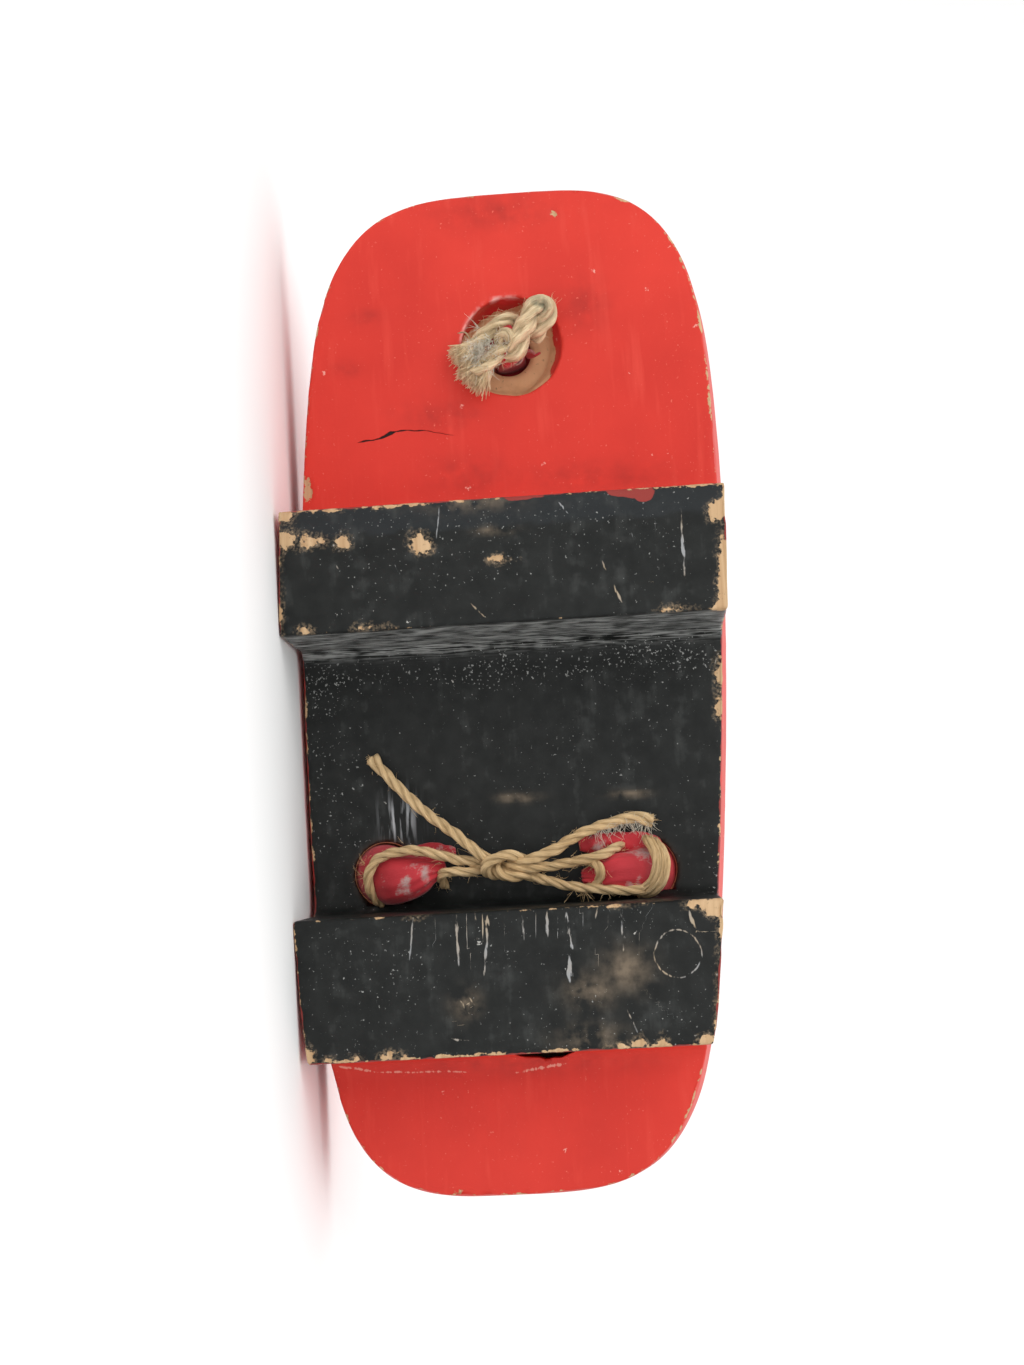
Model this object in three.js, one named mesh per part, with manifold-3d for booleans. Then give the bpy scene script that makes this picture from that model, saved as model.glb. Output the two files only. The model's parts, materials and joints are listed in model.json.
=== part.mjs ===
// A geta: a Japanese wooden sandal. One carved and painted block makes the foot board and its two
// teeth. A padded V strap goes down through two rear holes, where a twine ties its tails together,
// and a toe post carries its apex and is held in a recess under the toe by a toggle of rope.
// Millimetres. In the shoe's own group x runs across, y towards the toe and z up from the ground.
// The finished sandal lies on its side: the ends of both teeth, the edge of the board and the
// outside of one strap touch the floor.
import * as THREE from "three";
import { mergeVertices } from "three/addons/utils/BufferGeometryUtils.js";
import Module from "manifold-3d";

const wasm = await Module();
wasm.setup();

// Block: driving dimensions
const LENGTH = 225;
const HALF_WIDTH = 47.1; // widest half of the underside
const TOOTH_HEIGHT = 28;
const BOARD_THICKNESS = 18;
const TREAD = TOOTH_HEIGHT + BOARD_THICKNESS; // height of the surface under the foot
const CLEARANCE = 0.3; // between pieces that touch

// Plan of the underside: gently bowed sides that close in two rounded ends
const PLAN = {
  widestAt: 25.3,
  bowToToe: 0.00097,
  bowToHeel: 0.00043,
  toeRound: 53.6,
  heelRound: 56.9,
  roundPower: 3.77,
};
const PLAN_STEPS = { round: 11, side: 10 };
const SKEW = -0.037; // the block is cut out of square: how far y shifts for each step across

// How far the sides of the block stand out of that plan, from the ground up
const TREAD_EDGE = 3; // radius of the rounded upper edge
const BELOW_GROUND = { height: -2, out: 0.75 };
const BOARD_FOOT = { height: TOOTH_HEIGHT, out: 0 };
const WIDEST = { height: TREAD - TREAD_EDGE, out: 1.2 };
const SIDE_FLARE = [
  BELOW_GROUND,
  BOARD_FOOT,
  WIDEST,
  ...[30, 60, 90].map((degrees) => {
    const turn = THREE.MathUtils.degToRad(degrees);
    return {
      height: TREAD - TREAD_EDGE * (1 - Math.sin(turn)),
      out: WIDEST.out - TREAD_EDGE * (1 - Math.cos(turn)),
    };
  }),
];

// Side view: the teeth along the length, and how the ends of the board rise from the ground
const FRONT_TOOTH = { toeSide: 37.3, heelSide: 10.1 };
const REAR_TOOTH = { toeSide: -50.3, heelSide: -80.5 };
const TOOTH_TAPER = 1; // each face leans in by this much from board to ground
const TOOTH_FILLET = 5;
const TOE_LIFT = { from: 84, rise: 2 };
const HEEL_LIFT = { from: -98, rise: 1.2 };
const PROFILE_STEPS = 5; // sections of each fillet
const OVERRUN = 12; // how far a cutting form runs past the block

// Saw notch at the root of the rear tooth, behind it
const SAW_NOTCH = { x: -6, halfChord: 8, depth: 3.6, intoBoard: 5 };

// Toe hole with its recess underneath, and the two rear holes, which splay towards the tread
const TOE_HOLE = { y: 76.3, radius: 5.2 };
const RECESS = { mouthRadius: 11.5, floorRadius: 9.4, depth: 7, cutterFlare: 3.6 };
const REAR_HOLE = { y: -42.1, radius: 7, xUnder: 28.5, xTread: 32 };
const HOLE_SIDES = { toe: 28, rear: 24 };

// Strap: half of it, from the apex over the toe post to the tied tail under the board
const STRAP_ROWS = [
  { place: "apex", x: 0, y: 76.4, z: 57.5, wide: 6.4, thick: 6.8 },
  { place: "front bend", x: 6, y: 74, z: 59.6, wide: 8, thick: 7.4 },
  { place: "front", x: 14.5, y: 62.4, z: 65.5, wide: 11.5, thick: 8.4 },
  { place: "instep", x: 26, y: 40.4, z: 72.5, wide: 15, thick: 9.4 },
  { place: "crown", x: 35.3, y: 13.2, z: 74, wide: 16.5, thick: 10 },
  { place: "side", x: 40.3, y: -13.2, z: 69, wide: 16, thick: 10.2 },
  { place: "bulge", x: 41.63, y: -30.5, z: 61.5, wide: 14.4, thick: 10.6 },
  { place: "over the hole", x: 35.5, y: -40.6, z: 53, wide: 13.2, thick: 11.2 },
  { place: "tread", x: 31.9, y: -42.1, z: 45, wide: 13.2, thick: 11.2 },
  { place: "underside", x: 29, y: -42.1, z: 31, wide: 13, thick: 10.6 },
  { place: "tail bend", x: 25.6, y: -41.9, z: 23.7, wide: 12, thick: 9.2 },
  { place: "tail", x: 20.5, y: -41.6, z: 22.8, wide: 10.6, thick: 8.4 },
  { place: "tied tip", x: 15.2, y: -41, z: 23.6, wide: 5.2, thick: 5 },
];
const STRAP_STEPS = 5; // sections between two rows
const STRAP_SIDES = 16;

// Toe post: a loop round the apex of the strap, a shank in the toe hole and an eye for the toggle
const POST = {
  loopWall: 2.3,
  loopWidth: 7.6,
  shankX: 4.8,
  shankY: 4.4,
  eyeZ: 27.6,
  eyeRadius: 4.9,
  eyeWidth: 6,
};
const POST_SIDES = 20;

// Rope toggle under the toe, from its frayed end to its folded end, along its own slanting line
const TOGGLE_TURN = THREE.MathUtils.degToRad(-35);
const TOGGLE_RADIUS = 2.6;
const TOGGLE_STEPS = 4; // sections between two rows
const TOGGLE_SIDES = 12;
const TOGGLE_ROWS = [
  { place: "frayed end", along: 13.8, z: 25.4, wide: 8.6, thick: 4 },
  { place: "splayed ends", along: 10, z: 24.9, wide: 8.2, thick: 5 },
  { place: "neck", along: 4.4, z: 26.8, wide: 5.4, thick: 5 },
  { place: "eye", along: 0, z: POST.eyeZ, wide: 2 * TOGGLE_RADIUS, thick: 2 * TOGGLE_RADIUS },
  { place: "fold root", along: -4.4, z: 26.4, wide: 5.6, thick: 5.2 },
  { place: "fold", along: -9, z: 24.4, wide: 6.8, thick: 6 },
  { place: "fold end", along: -11.8, z: 24.6, wide: 4.4, thick: 4 },
];

// Twine that ties the two tails: its knot, its strands and its two free ends
const TWINE = 2.5; // diameter
const STRAND_CLEARANCE = 0.9; // between the strands and the soft tails they press on
const KNOT = { x: 2.4, y: -40.4, z: 22.9, length: 6.6, radius: 3.7, core: 1.65, coreLength: 9.6 };
const KNOT_FULLNESS = 0.7; // below 1 the knot is fuller than a ball
const KNOT_SIDES = { core: 12, ring: 16, belly: 8 };
const STRANDS = [
  {
    name: "outer wrap",
    places: [
      [28.4, -47.8, 25.2],
      [30.6, -46.4, 23.2],
      [32, -42.4, 21.8],
      [30, -38.6, 21.6],
      [24, -37.2, 19.4],
      [16.3, -38, 20.6],
      [11, -39.4, 21.6],
    ],
  },
  {
    name: "tip wrap",
    places: [
      [17.6, -45.4, 25.4],
      [17.2, -44.8, 21.4],
      [14.4, -43.4, 20],
      [10.4, -42, 21.6],
    ],
  },
];
const TAIL_LINE = -41.5; // the other side of the tie is the same strands turned half round on this line
const FREE_END_LEFT = [
  [4.4, -38.1, 18.4],
  [7.6, -37.3, 18.2],
  [10.1, -36.3, 18.8],
  [13.6, -33.9, 20.4],
  [17.7, -29.8, 22.6],
  [22.8, -25.8, 24.4],
  [27.9, -21.2, 25.4],
  [32.4, -17.1, 25.8],
];
const FREE_END_RIGHT = [
  [0, -38.3, 18.4],
  [-3.2, -37.7, 18.2],
  [-7.5, -36.3, 19.2],
  [-12.6, -34.1, 21],
  [-17.7, -32.3, 22.8],
  [-22.8, -31.1, 24],
  [-30.6, -30.7, 25.2],
];
const CORD_SIDES = 8;
const CORD_STEPS = 14;

const PAINTED_WOOD = { color: 0xc8382b, roughness: 0.45 };
const RED_CLOTH = { color: 0xb51f26, roughness: 0.9 };
const HEMP = { color: 0xb99a6b, roughness: 0.95 };

// A closed geometry as a solid, and a solid as a geometry
function solidOf(geometry) {
  const bare = geometry.clone();
  bare.deleteAttribute("normal");
  bare.deleteAttribute("uv");
  const merged = mergeVertices(bare, 1e-4);
  return new wasm.Manifold(
    new wasm.Mesh({
      numProp: 3,
      vertProperties: new Float32Array(merged.attributes.position.array),
      triVerts: new Uint32Array(merged.index.array),
    }),
  );
}

function geometryOf(solid) {
  const { vertProperties, triVerts } = solid.getMesh();
  const geometry = new THREE.BufferGeometry();
  geometry.setAttribute("position", new THREE.BufferAttribute(new Float32Array(vertProperties), 3));
  geometry.setIndex(new THREE.BufferAttribute(new Uint32Array(triVerts), 1));
  geometry.computeVertexNormals();
  return geometry;
}

// A closed skin over rings of equal count, each end closed by a fan round its middle
function skin(rings) {
  const count = rings[0].length;
  const last = rings.length - 1;
  const middle = (ring) => ring.reduce((sum, p) => sum.add(p), new THREE.Vector3()).divideScalar(count);
  const points = [...rings.flat(), middle(rings[0]), middle(rings[last])];
  const [firstHub, lastHub] = [points.length - 2, points.length - 1];
  const faces = [];
  for (let j = 0; j < count; j++) {
    const next = (j + 1) % count;
    for (let i = 0; i < last; i++) {
      const [a, b, c, d] = [i * count + j, i * count + next, (i + 1) * count + next, (i + 1) * count + j];
      faces.push(a, b, c, a, c, d);
    }
    faces.push(firstHub, next, j, lastHub, last * count + j, last * count + next);
  }
  const geometry = new THREE.BufferGeometry().setFromPoints(points);
  geometry.setIndex(faces);
  return geometry;
}

// Half the width of the underside at a place along its length
function halfWidthAt(y) {
  const bow = y > PLAN.widestAt ? PLAN.bowToToe : PLAN.bowToHeel;
  const round = y > 0 ? PLAN.toeRound : PLAN.heelRound;
  const into = Math.max(0, Math.abs(y) - (LENGTH / 2 - round)) / round;
  const side = HALF_WIDTH - bow * (y - PLAN.widestAt) ** 2;
  return side * (1 - into ** PLAN.roundPower) ** (1 / PLAN.roundPower);
}

// Places along the length, close together where the ends turn
function planStations() {
  const turned = (round) =>
    Array.from({ length: PLAN_STEPS.round }, (_, i) => {
      const turn = ((i + 1) / PLAN_STEPS.round) * (Math.PI / 2);
      return LENGTH / 2 - round + round * Math.sin(turn) ** (2 / PLAN.roundPower);
    });
  const heelStart = -LENGTH / 2 + PLAN.heelRound;
  const sideLength = LENGTH - PLAN.heelRound - PLAN.toeRound;
  const side = Array.from(
    { length: PLAN_STEPS.side + 1 },
    (_, i) => heelStart + (sideLength * i) / PLAN_STEPS.side,
  );
  const heel = turned(PLAN.heelRound).map((y) => -y);
  return [...heel.reverse(), ...side, ...turned(PLAN.toeRound)];
}

// One closed outline of the block at a height, standing out of the plan by a flare
function planRing(height, out) {
  const grow = { x: 1 + out / HALF_WIDTH, y: 1 + (2 * out) / LENGTH };
  const stations = planStations();
  const right = stations.map((y) => new THREE.Vector3(halfWidthAt(y) * grow.x, y * grow.y, height));
  const left = right.slice(1, -1).map((p) => new THREE.Vector3(-p.x, p.y, height));
  return [...right, ...left.reverse()];
}

// The side view as a closed shape in y and z, with fillets at the roots of the teeth
function sideShape() {
  const [toe, heel] = [LENGTH / 2 + OVERRUN, -LENGTH / 2 - OVERRUN];
  const shape = new THREE.Shape();
  shape.moveTo(heel, TREAD + OVERRUN);
  shape.lineTo(heel, TOOTH_HEIGHT + HEEL_LIFT.rise * 2);
  shape.quadraticCurveTo((heel + HEEL_LIFT.from) / 2, TOOTH_HEIGHT, HEEL_LIFT.from, TOOTH_HEIGHT);
  for (const tooth of [REAR_TOOTH, FRONT_TOOTH]) {
    const [back, front] = [tooth.heelSide - TOOTH_TAPER, tooth.toeSide + TOOTH_TAPER];
    const lean = (TOOTH_TAPER * TOOTH_FILLET) / TOOTH_HEIGHT;
    const filletEnd = TOOTH_HEIGHT - TOOTH_FILLET;
    shape.lineTo(back - TOOTH_FILLET, TOOTH_HEIGHT);
    shape.quadraticCurveTo(back, TOOTH_HEIGHT, back + lean, filletEnd);
    shape.lineTo(tooth.heelSide, 0);
    shape.lineTo(tooth.toeSide, 0);
    shape.lineTo(front - lean, filletEnd);
    shape.quadraticCurveTo(front, TOOTH_HEIGHT, front + TOOTH_FILLET, TOOTH_HEIGHT);
  }
  shape.lineTo(TOE_LIFT.from, TOOTH_HEIGHT);
  shape.quadraticCurveTo((toe + TOE_LIFT.from) / 2, TOOTH_HEIGHT, toe, TOOTH_HEIGHT + TOE_LIFT.rise * 2);
  shape.lineTo(toe, TREAD + OVERRUN);
  return shape;
}

// The shape extruded across the shoe, from its drawing plane to x
function acrossShoe(shape, depth, options = {}) {
  const plain = { depth, bevelEnabled: false, curveSegments: PROFILE_STEPS };
  const geometry = new THREE.ExtrudeGeometry(shape, { ...plain, ...options });
  geometry.translate(0, 0, -depth / 2);
  const drawingToShoe = new THREE.Matrix4().makeBasis(
    new THREE.Vector3(0, 1, 0),
    new THREE.Vector3(0, 0, 1),
    new THREE.Vector3(1, 0, 0),
  );
  return geometry.applyMatrix4(drawingToShoe);
}

// The recess and hole under the toe, turned about the hole's own line
function toeHoleCutter() {
  const profile = [
    [0, TOOTH_HEIGHT - OVERRUN],
    [RECESS.mouthRadius + RECESS.cutterFlare, TOOTH_HEIGHT - OVERRUN],
    [RECESS.mouthRadius, TOOTH_HEIGHT],
    [RECESS.floorRadius, TOOTH_HEIGHT + RECESS.depth],
    [TOE_HOLE.radius, TOOTH_HEIGHT + RECESS.depth],
    [TOE_HOLE.radius, TREAD + OVERRUN],
    [0, TREAD + OVERRUN],
  ].map(([r, z]) => new THREE.Vector2(r, z));
  const turned = new THREE.LatheGeometry(profile, HOLE_SIDES.toe);
  return turned.rotateX(Math.PI / 2).translate(0, TOE_HOLE.y, 0);
}

// A rear hole on one side: a straight bore that splays outwards as it rises
function rearHoleCutter(side) {
  const lean = Math.atan2(REAR_HOLE.xTread - REAR_HOLE.xUnder, BOARD_THICKNESS);
  const bore = new THREE.CylinderGeometry(REAR_HOLE.radius, REAR_HOLE.radius, TREAD, HOLE_SIDES.rear);
  bore.rotateX(Math.PI / 2).rotateY(side * lean);
  const xMiddle = (REAR_HOLE.xUnder + REAR_HOLE.xTread) / 2;
  return bore.translate(side * xMiddle, REAR_HOLE.y, TOOTH_HEIGHT + BOARD_THICKNESS / 2);
}

// A shallow half-moon gouged out of the heel board, against the back of the rear tooth
function sawNotchCutter() {
  const { x, halfChord, depth, intoBoard } = SAW_NOTCH;
  const root = REAR_TOOTH.heelSide - TOOTH_TAPER;
  const moon = new THREE.Shape();
  moon.moveTo(-halfChord, 0);
  moon.quadraticCurveTo(0, -2 * depth, halfChord, 0);
  const gouge = new THREE.ExtrudeGeometry(moon, { depth: OVERRUN + intoBoard, bevelEnabled: false });
  return gouge.translate(x, root, TOOTH_HEIGHT - OVERRUN);
}

function makeBlock() {
  const outline = solidOf(skin(SIDE_FLARE.map(({ height, out }) => planRing(height, out))));
  const square = outline.intersect(solidOf(acrossShoe(sideShape(), 3 * HALF_WIDTH)));
  const carved = square.transform(new THREE.Matrix4().makeShear(SKEW, 0, 0, 0, 0, 0).elements);
  const cutters = [toeHoleCutter(), rearHoleCutter(1), rearHoleCutter(-1), sawNotchCutter()];
  return cutters.reduce((block, cutter) => block.subtract(solidOf(cutter)), carved);
}

// A closed tube through the rows of a table: its thickness points the way thickAxis gives
function sweep(rows, steps, sides, thickAxis, grow = 0) {
  const centre = new THREE.CatmullRomCurve3(rows.map((r) => new THREE.Vector3(r.x, r.y, r.z)));
  const size = new THREE.CatmullRomCurve3(rows.map((r) => new THREE.Vector3(r.wide, r.thick, 0)));
  const sections = (rows.length - 1) * steps;
  const rings = Array.from({ length: sections + 1 }, (_, i) => {
    const t = i / sections;
    const [middle, along, half] = [centre.getPoint(t), centre.getTangent(t), size.getPoint(t)];
    const up = thickAxis(middle).addScaledVector(along, -thickAxis(middle).dot(along)).normalize();
    const across = up.clone().cross(along);
    return Array.from({ length: sides }, (_, j) => {
      const turn = (j / sides) * 2 * Math.PI;
      return middle
        .clone()
        .addScaledVector(across, (half.x / 2 + grow) * Math.cos(turn))
        .addScaledVector(up, (half.y / 2 + grow) * Math.sin(turn));
    });
  });
  return skin(rings);
}

// The strap is thick away from a line along the middle of the tread
function makeStrap(grow = 0) {
  const mirrored = STRAP_ROWS.slice(1).map((row) => ({ ...row, x: -row.x }));
  const rows = [...mirrored.reverse(), ...STRAP_ROWS];
  const fromTread = (p) => new THREE.Vector3(p.x, 0, p.z - TREAD).normalize();
  return solidOf(sweep(rows, STRAP_STEPS, STRAP_SIDES, fromTread, grow));
}

// A place on the toggle's slanting line under the toe hole
function onToggle(along) {
  return { x: along * Math.cos(TOGGLE_TURN), y: TOE_HOLE.y + along * Math.sin(TOGGLE_TURN) };
}

function makeToggle(grow = 0) {
  const rows = TOGGLE_ROWS.map((row) => ({ ...row, ...onToggle(row.along) }));
  return solidOf(sweep(rows, TOGGLE_STEPS, TOGGLE_SIDES, () => new THREE.Vector3(0, 0, 1), grow));
}

// Loop, shank and eye joined, with room cut for the strap and the toggle that pass through them
function makeToePost() {
  const apex = STRAP_ROWS[0];
  const loopShape = new THREE.Shape();
  const [loopY, loopZ] = [apex.wide / 2 + POST.loopWall, apex.thick / 2 + POST.loopWall];
  loopShape.absellipse(apex.y, apex.z, loopY, loopZ, 0, 2 * Math.PI);
  const loop = acrossShoe(loopShape, POST.loopWidth, { curveSegments: POST_SIDES });
  const shankTop = apex.z - apex.thick / 2;
  const shank = new THREE.CylinderGeometry(1, 1, shankTop - POST.eyeZ, POST_SIDES);
  shank.rotateX(Math.PI / 2).scale(POST.shankX, POST.shankY, 1);
  shank.translate(0, TOE_HOLE.y, (shankTop + POST.eyeZ) / 2);
  const eye = new THREE.CylinderGeometry(POST.eyeRadius, POST.eyeRadius, POST.eyeWidth, POST_SIDES);
  eye.rotateZ(Math.PI / 2).rotateZ(TOGGLE_TURN).translate(0, TOE_HOLE.y, POST.eyeZ);
  const joined = solidOf(loop).add(solidOf(shank)).add(solidOf(eye));
  return joined.subtract(makeStrap(CLEARANCE)).subtract(makeToggle(CLEARANCE));
}

// A round cord through a list of places
function cord(places, diameter) {
  const round = new THREE.Shape();
  round.absarc(0, 0, diameter / 2, 0, 2 * Math.PI);
  const route = new THREE.CatmullRomCurve3(places.map(([x, y, z]) => new THREE.Vector3(x, y, z)));
  const options = { steps: CORD_STEPS, curveSegments: CORD_SIDES, extrudePath: route };
  return solidOf(new THREE.ExtrudeGeometry(round, options));
}

// The strands of the tie on both sides of the knot, joined in its core and clear of the strap
function makeStrands() {
  const core = new THREE.CylinderGeometry(KNOT.core, KNOT.core, KNOT.coreLength, KNOT_SIDES.core);
  core.rotateZ(Math.PI / 2).translate(KNOT.x, KNOT.y, KNOT.z);
  const sides = [1, -1].flatMap((side) =>
    STRANDS.map(({ places }) => {
      const turned = places.map(([x, y, z]) => [side * x, TAIL_LINE + side * (y - TAIL_LINE), z]);
      const coreEnd = [KNOT.x + side * (KNOT.length / 2), KNOT.y, KNOT.z];
      return cord([...turned, coreEnd], TWINE);
    }),
  );
  const joined = sides.reduce((sum, strand) => sum.add(strand), solidOf(core));
  return joined.subtract(makeStrap(STRAND_CLEARANCE));
}

// The knot: a rounded ring round the core of the strands
function makeKnot() {
  const bore = KNOT.core + CLEARANCE;
  const belly = Array.from({ length: KNOT_SIDES.belly + 1 }, (_, i) => {
    const turn = (i / KNOT_SIDES.belly) * Math.PI;
    const radius = bore + (KNOT.radius - bore) * Math.sin(turn) ** KNOT_FULLNESS;
    return new THREE.Vector2(radius, (-KNOT.length / 2) * Math.cos(turn));
  });
  const ring = new THREE.LatheGeometry([...belly, belly[0].clone()], KNOT_SIDES.ring);
  ring.rotateZ(Math.PI / 2).translate(KNOT.x, KNOT.y, KNOT.z);
  return solidOf(ring);
}

// The plane of the floor in the shoe's frame: it passes the outer ends of both teeth and is
// leaned about the line between them until it meets the edge of the board
function floorAxes() {
  const [low, high] = [BELOW_GROUND, BOARD_FOOT];
  const groundOut = THREE.MathUtils.mapLinear(0, low.height, high.height, low.out, high.out);
  const skewed = (x, y, z) => new THREE.Vector3(x, y + SKEW * x, z);
  const toothEnd = (y) => skewed(halfWidthAt(y) * (1 + groundOut / HALF_WIDTH), y, 0);
  const [front, rear] = [toothEnd(FRONT_TOOTH.heelSide), toothEnd(REAR_TOOTH.toeSide)];
  const toToe = front.clone().sub(rear).normalize();
  const rim = planRing(WIDEST.height, WIDEST.out).filter((p) => p.x > 0);
  const edge = rim.map((p) => skewed(p.x, p.y, p.z));
  const leans = edge.map((p) => {
    const away = p.clone().sub(rear).addScaledVector(toToe, -p.clone().sub(rear).dot(toToe));
    return { lean: Math.atan2(away.x, away.z), away: away.normalize() };
  });
  const steepest = leans.reduce((most, l) => (l.lean > most.lean ? l : most));
  return { toToe, toTread: steepest.away };
}

// Turns the shoe on to its side, toe towards -X and teeth towards -Y, and puts the middle of its
// footprint at the origin
function layOnSide(shoe, standing) {
  const { toToe, toTread } = floorAxes();
  const toSky = toTread.clone().cross(toToe);
  const shoeToFloor = new THREE.Matrix4().makeBasis(toToe.clone().negate(), toTread, toSky).transpose();
  shoe.setRotationFromMatrix(shoeToFloor);
  shoe.updateMatrixWorld(true);
  const box = standing.reduce((sum, mesh) => sum.expandByObject(mesh, true), new THREE.Box3());
  const middle = box.getCenter(new THREE.Vector3());
  shoe.position.set(-middle.x, -middle.y, -box.min.z);
}

function piece(name, solid, finish) {
  const mesh = new THREE.Mesh(geometryOf(solid), new THREE.MeshStandardMaterial({ metalness: 0, ...finish }));
  mesh.name = name;
  return mesh;
}

const firm = [
  piece("carved_block", makeBlock(), PAINTED_WOOD),
  piece("strap", makeStrap(), RED_CLOTH),
  piece("toe_post", makeToePost(), RED_CLOTH),
];
const cords = [
  piece("toe_toggle", makeToggle(), HEMP),
  piece("tie_strands", makeStrands(), HEMP),
  piece("tie_knot", makeKnot(), HEMP),
  piece("tie_end_left", cord(FREE_END_LEFT, TWINE), HEMP),
  piece("tie_end_right", cord(FREE_END_RIGHT, TWINE), HEMP),
];

const shoe = new THREE.Group();
shoe.add(...firm, ...cords);
layOnSide(shoe, firm);

const sandal = new THREE.Group();
sandal.add(shoe);

export default sandal;
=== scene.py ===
"""Visual model of a worn wooden geta that lies on its side with its sole towards the camera.

Shapes are worked out in the shoe's own frame, in millimetres: x across, y towards the toe, z up from the
ground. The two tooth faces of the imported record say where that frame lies.
"""

import json

import bpy
import numpy as np
from mathutils import Matrix, Vector

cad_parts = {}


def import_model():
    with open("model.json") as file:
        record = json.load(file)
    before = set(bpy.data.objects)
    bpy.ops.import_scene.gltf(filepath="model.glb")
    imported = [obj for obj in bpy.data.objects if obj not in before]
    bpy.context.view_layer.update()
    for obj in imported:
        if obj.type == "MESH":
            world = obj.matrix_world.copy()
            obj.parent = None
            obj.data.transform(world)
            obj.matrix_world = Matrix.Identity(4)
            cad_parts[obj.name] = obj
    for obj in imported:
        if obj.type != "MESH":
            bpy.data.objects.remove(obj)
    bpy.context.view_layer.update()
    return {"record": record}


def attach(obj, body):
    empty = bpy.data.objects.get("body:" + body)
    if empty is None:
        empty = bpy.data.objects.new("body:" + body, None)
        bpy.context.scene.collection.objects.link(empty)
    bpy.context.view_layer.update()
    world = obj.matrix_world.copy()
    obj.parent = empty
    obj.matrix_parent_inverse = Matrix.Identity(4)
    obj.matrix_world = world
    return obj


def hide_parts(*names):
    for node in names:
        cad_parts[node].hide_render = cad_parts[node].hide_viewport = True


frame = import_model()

# The block, as in the CAD part
HALF_LENGTH = 112.5
HALF_WIDTH = 47.1
WIDEST_AT = 25.3
BOW_TO_TOE = 0.00097
BOW_TO_HEEL = 0.00043
TOE_ROUND = 53.6
HEEL_ROUND = 56.9
ROUND_POWER = 3.77
SKEW = -0.037  # the block is cut out of square: how far y shifts for each step across
BOARD_FOOT = 28.0  # height of the underside of the board
TREAD = 46.0
TREAD_EDGE = 3.0
TREAD_FLARE = 1.2
GROUND_FLARE = 0.7
FRONT_TOOTH = (10.1, 37.3)  # heel side and toe side
REAR_TOOTH = (-80.5, -50.3)
TOOTH_TAPER = 1.0
FILLET = 5.0
TOE_LIFT_FROM = 84.0
HEEL_LIFT_FROM = -98.0
TOE_HOLE_Y = 76.3
TOE_HOLE_RADIUS = 5.2
RECESS_MOUTH = 11.5
RECESS_FLOOR = 9.4
RECESS_DEPTH = 7.0
RECESS_SHIFT = -1.3  # how far the mouth of the recess lies to one side of the hole
REAR_HOLE_Y = -42.1
REAR_HOLE_RADIUS = 7.0
REAR_HOLE_UNDER = 28.5
REAR_HOLE_TREAD = 32.0
NOTCH_X = -6.0
NOTCH_HALF = 8.0
NOTCH_DEPTH = 1.9
NOTCH_FLOOR = 33.0

# How finely the block is laid out
COLUMNS = 136
ARRIS = 0.7  # radius of the worn arrises
ARRIS_STEPS = 4
WALL_STEPS = 16
TOE_CAP_FROM = 74.0
HEEL_CAP_FROM = -87.5


def shoe_to_world():
    """The 4 by 4 matrix from the shoe's frame, in millimetres, to the row frame, in metres.

    The tooth faces' shared axis is straight down, and the line from the rear face to the front one runs to
    the toe. The front face's middle lies halfway between the two sides of the front tooth.
    """
    mounts = {m["name"]: m for m in frame["record"]["mounts"]}
    front = Vector(mounts["front_tooth_ground"]["pos_m"])
    rear = Vector(mounts["rear_tooth_ground"]["pos_m"])
    up = -Vector(mounts["front_tooth_ground"]["axis"]).normalized()
    toe = (front - rear).normalized()
    across = toe.cross(up)
    origin = front - toe * (sum(FRONT_TOOTH) / 2000)
    turn = Matrix((across, toe, up)).transposed().to_4x4()
    return Matrix.Translation(origin) @ turn @ Matrix.Scale(0.001, 4)


SHOE = shoe_to_world()
SHOE_ROWS = np.array(SHOE)


def to_world(points):
    """Shoe millimetres to row metres, for an array of points."""
    return points @ SHOE_ROWS[:3, :3].T + SHOE_ROWS[:3, 3]


def world(*point):
    """One shoe place in the row frame."""
    return SHOE @ Vector(point)


def value_noise(points, cell, seed):
    """Smooth noise from -1 to 1: hashed values on a lattice of that cell, blended by 3t^2 - 2t^3."""
    grid = points / cell
    low = np.floor(grid).astype(np.int64)
    t = grid - low
    t = t * t * (3 - 2 * t)
    total = np.zeros(points.shape[:-1])
    for corner in np.ndindex(2, 2, 2):
        at = low + np.array(corner)
        mixed = (at[..., 0] * 73856093) ^ (at[..., 1] * 19349663) ^ (at[..., 2] * 83492791) ^ (seed * 40503)
        mixed = ((mixed ^ (mixed >> 13)) * 1274126177) & 0xFFFFFFFF
        value = ((mixed ^ (mixed >> 16)) & 0xFFFF) / 32767.5 - 1
        total += value * np.prod(np.where(np.array(corner) == 1, t, 1 - t), axis=-1)
    return total


def bare_mesh(name, points, faces):
    """A mesh of shoe points and an array or list of faces, smooth shaded."""
    mesh = bpy.data.meshes.new(name)
    faces = faces.tolist() if isinstance(faces, np.ndarray) else faces
    mesh.from_pydata(to_world(points), [], faces)
    mesh.update()
    mesh.shade_smooth()
    return mesh


def show(mesh):
    """The mesh as a shown object of the same name."""
    piece = bpy.data.objects.new(mesh.name, mesh)
    bpy.context.scene.collection.objects.link(piece)
    return piece


def set_attribute(mesh, name, values):
    """A value or a vector for each vertex."""
    kind = "FLOAT" if values.ndim == 1 else "FLOAT_VECTOR"
    field = "value" if values.ndim == 1 else "vector"
    mesh.attributes.new(name, kind, "POINT").data.foreach_set(field, values.astype(np.float32).ravel())


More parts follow.
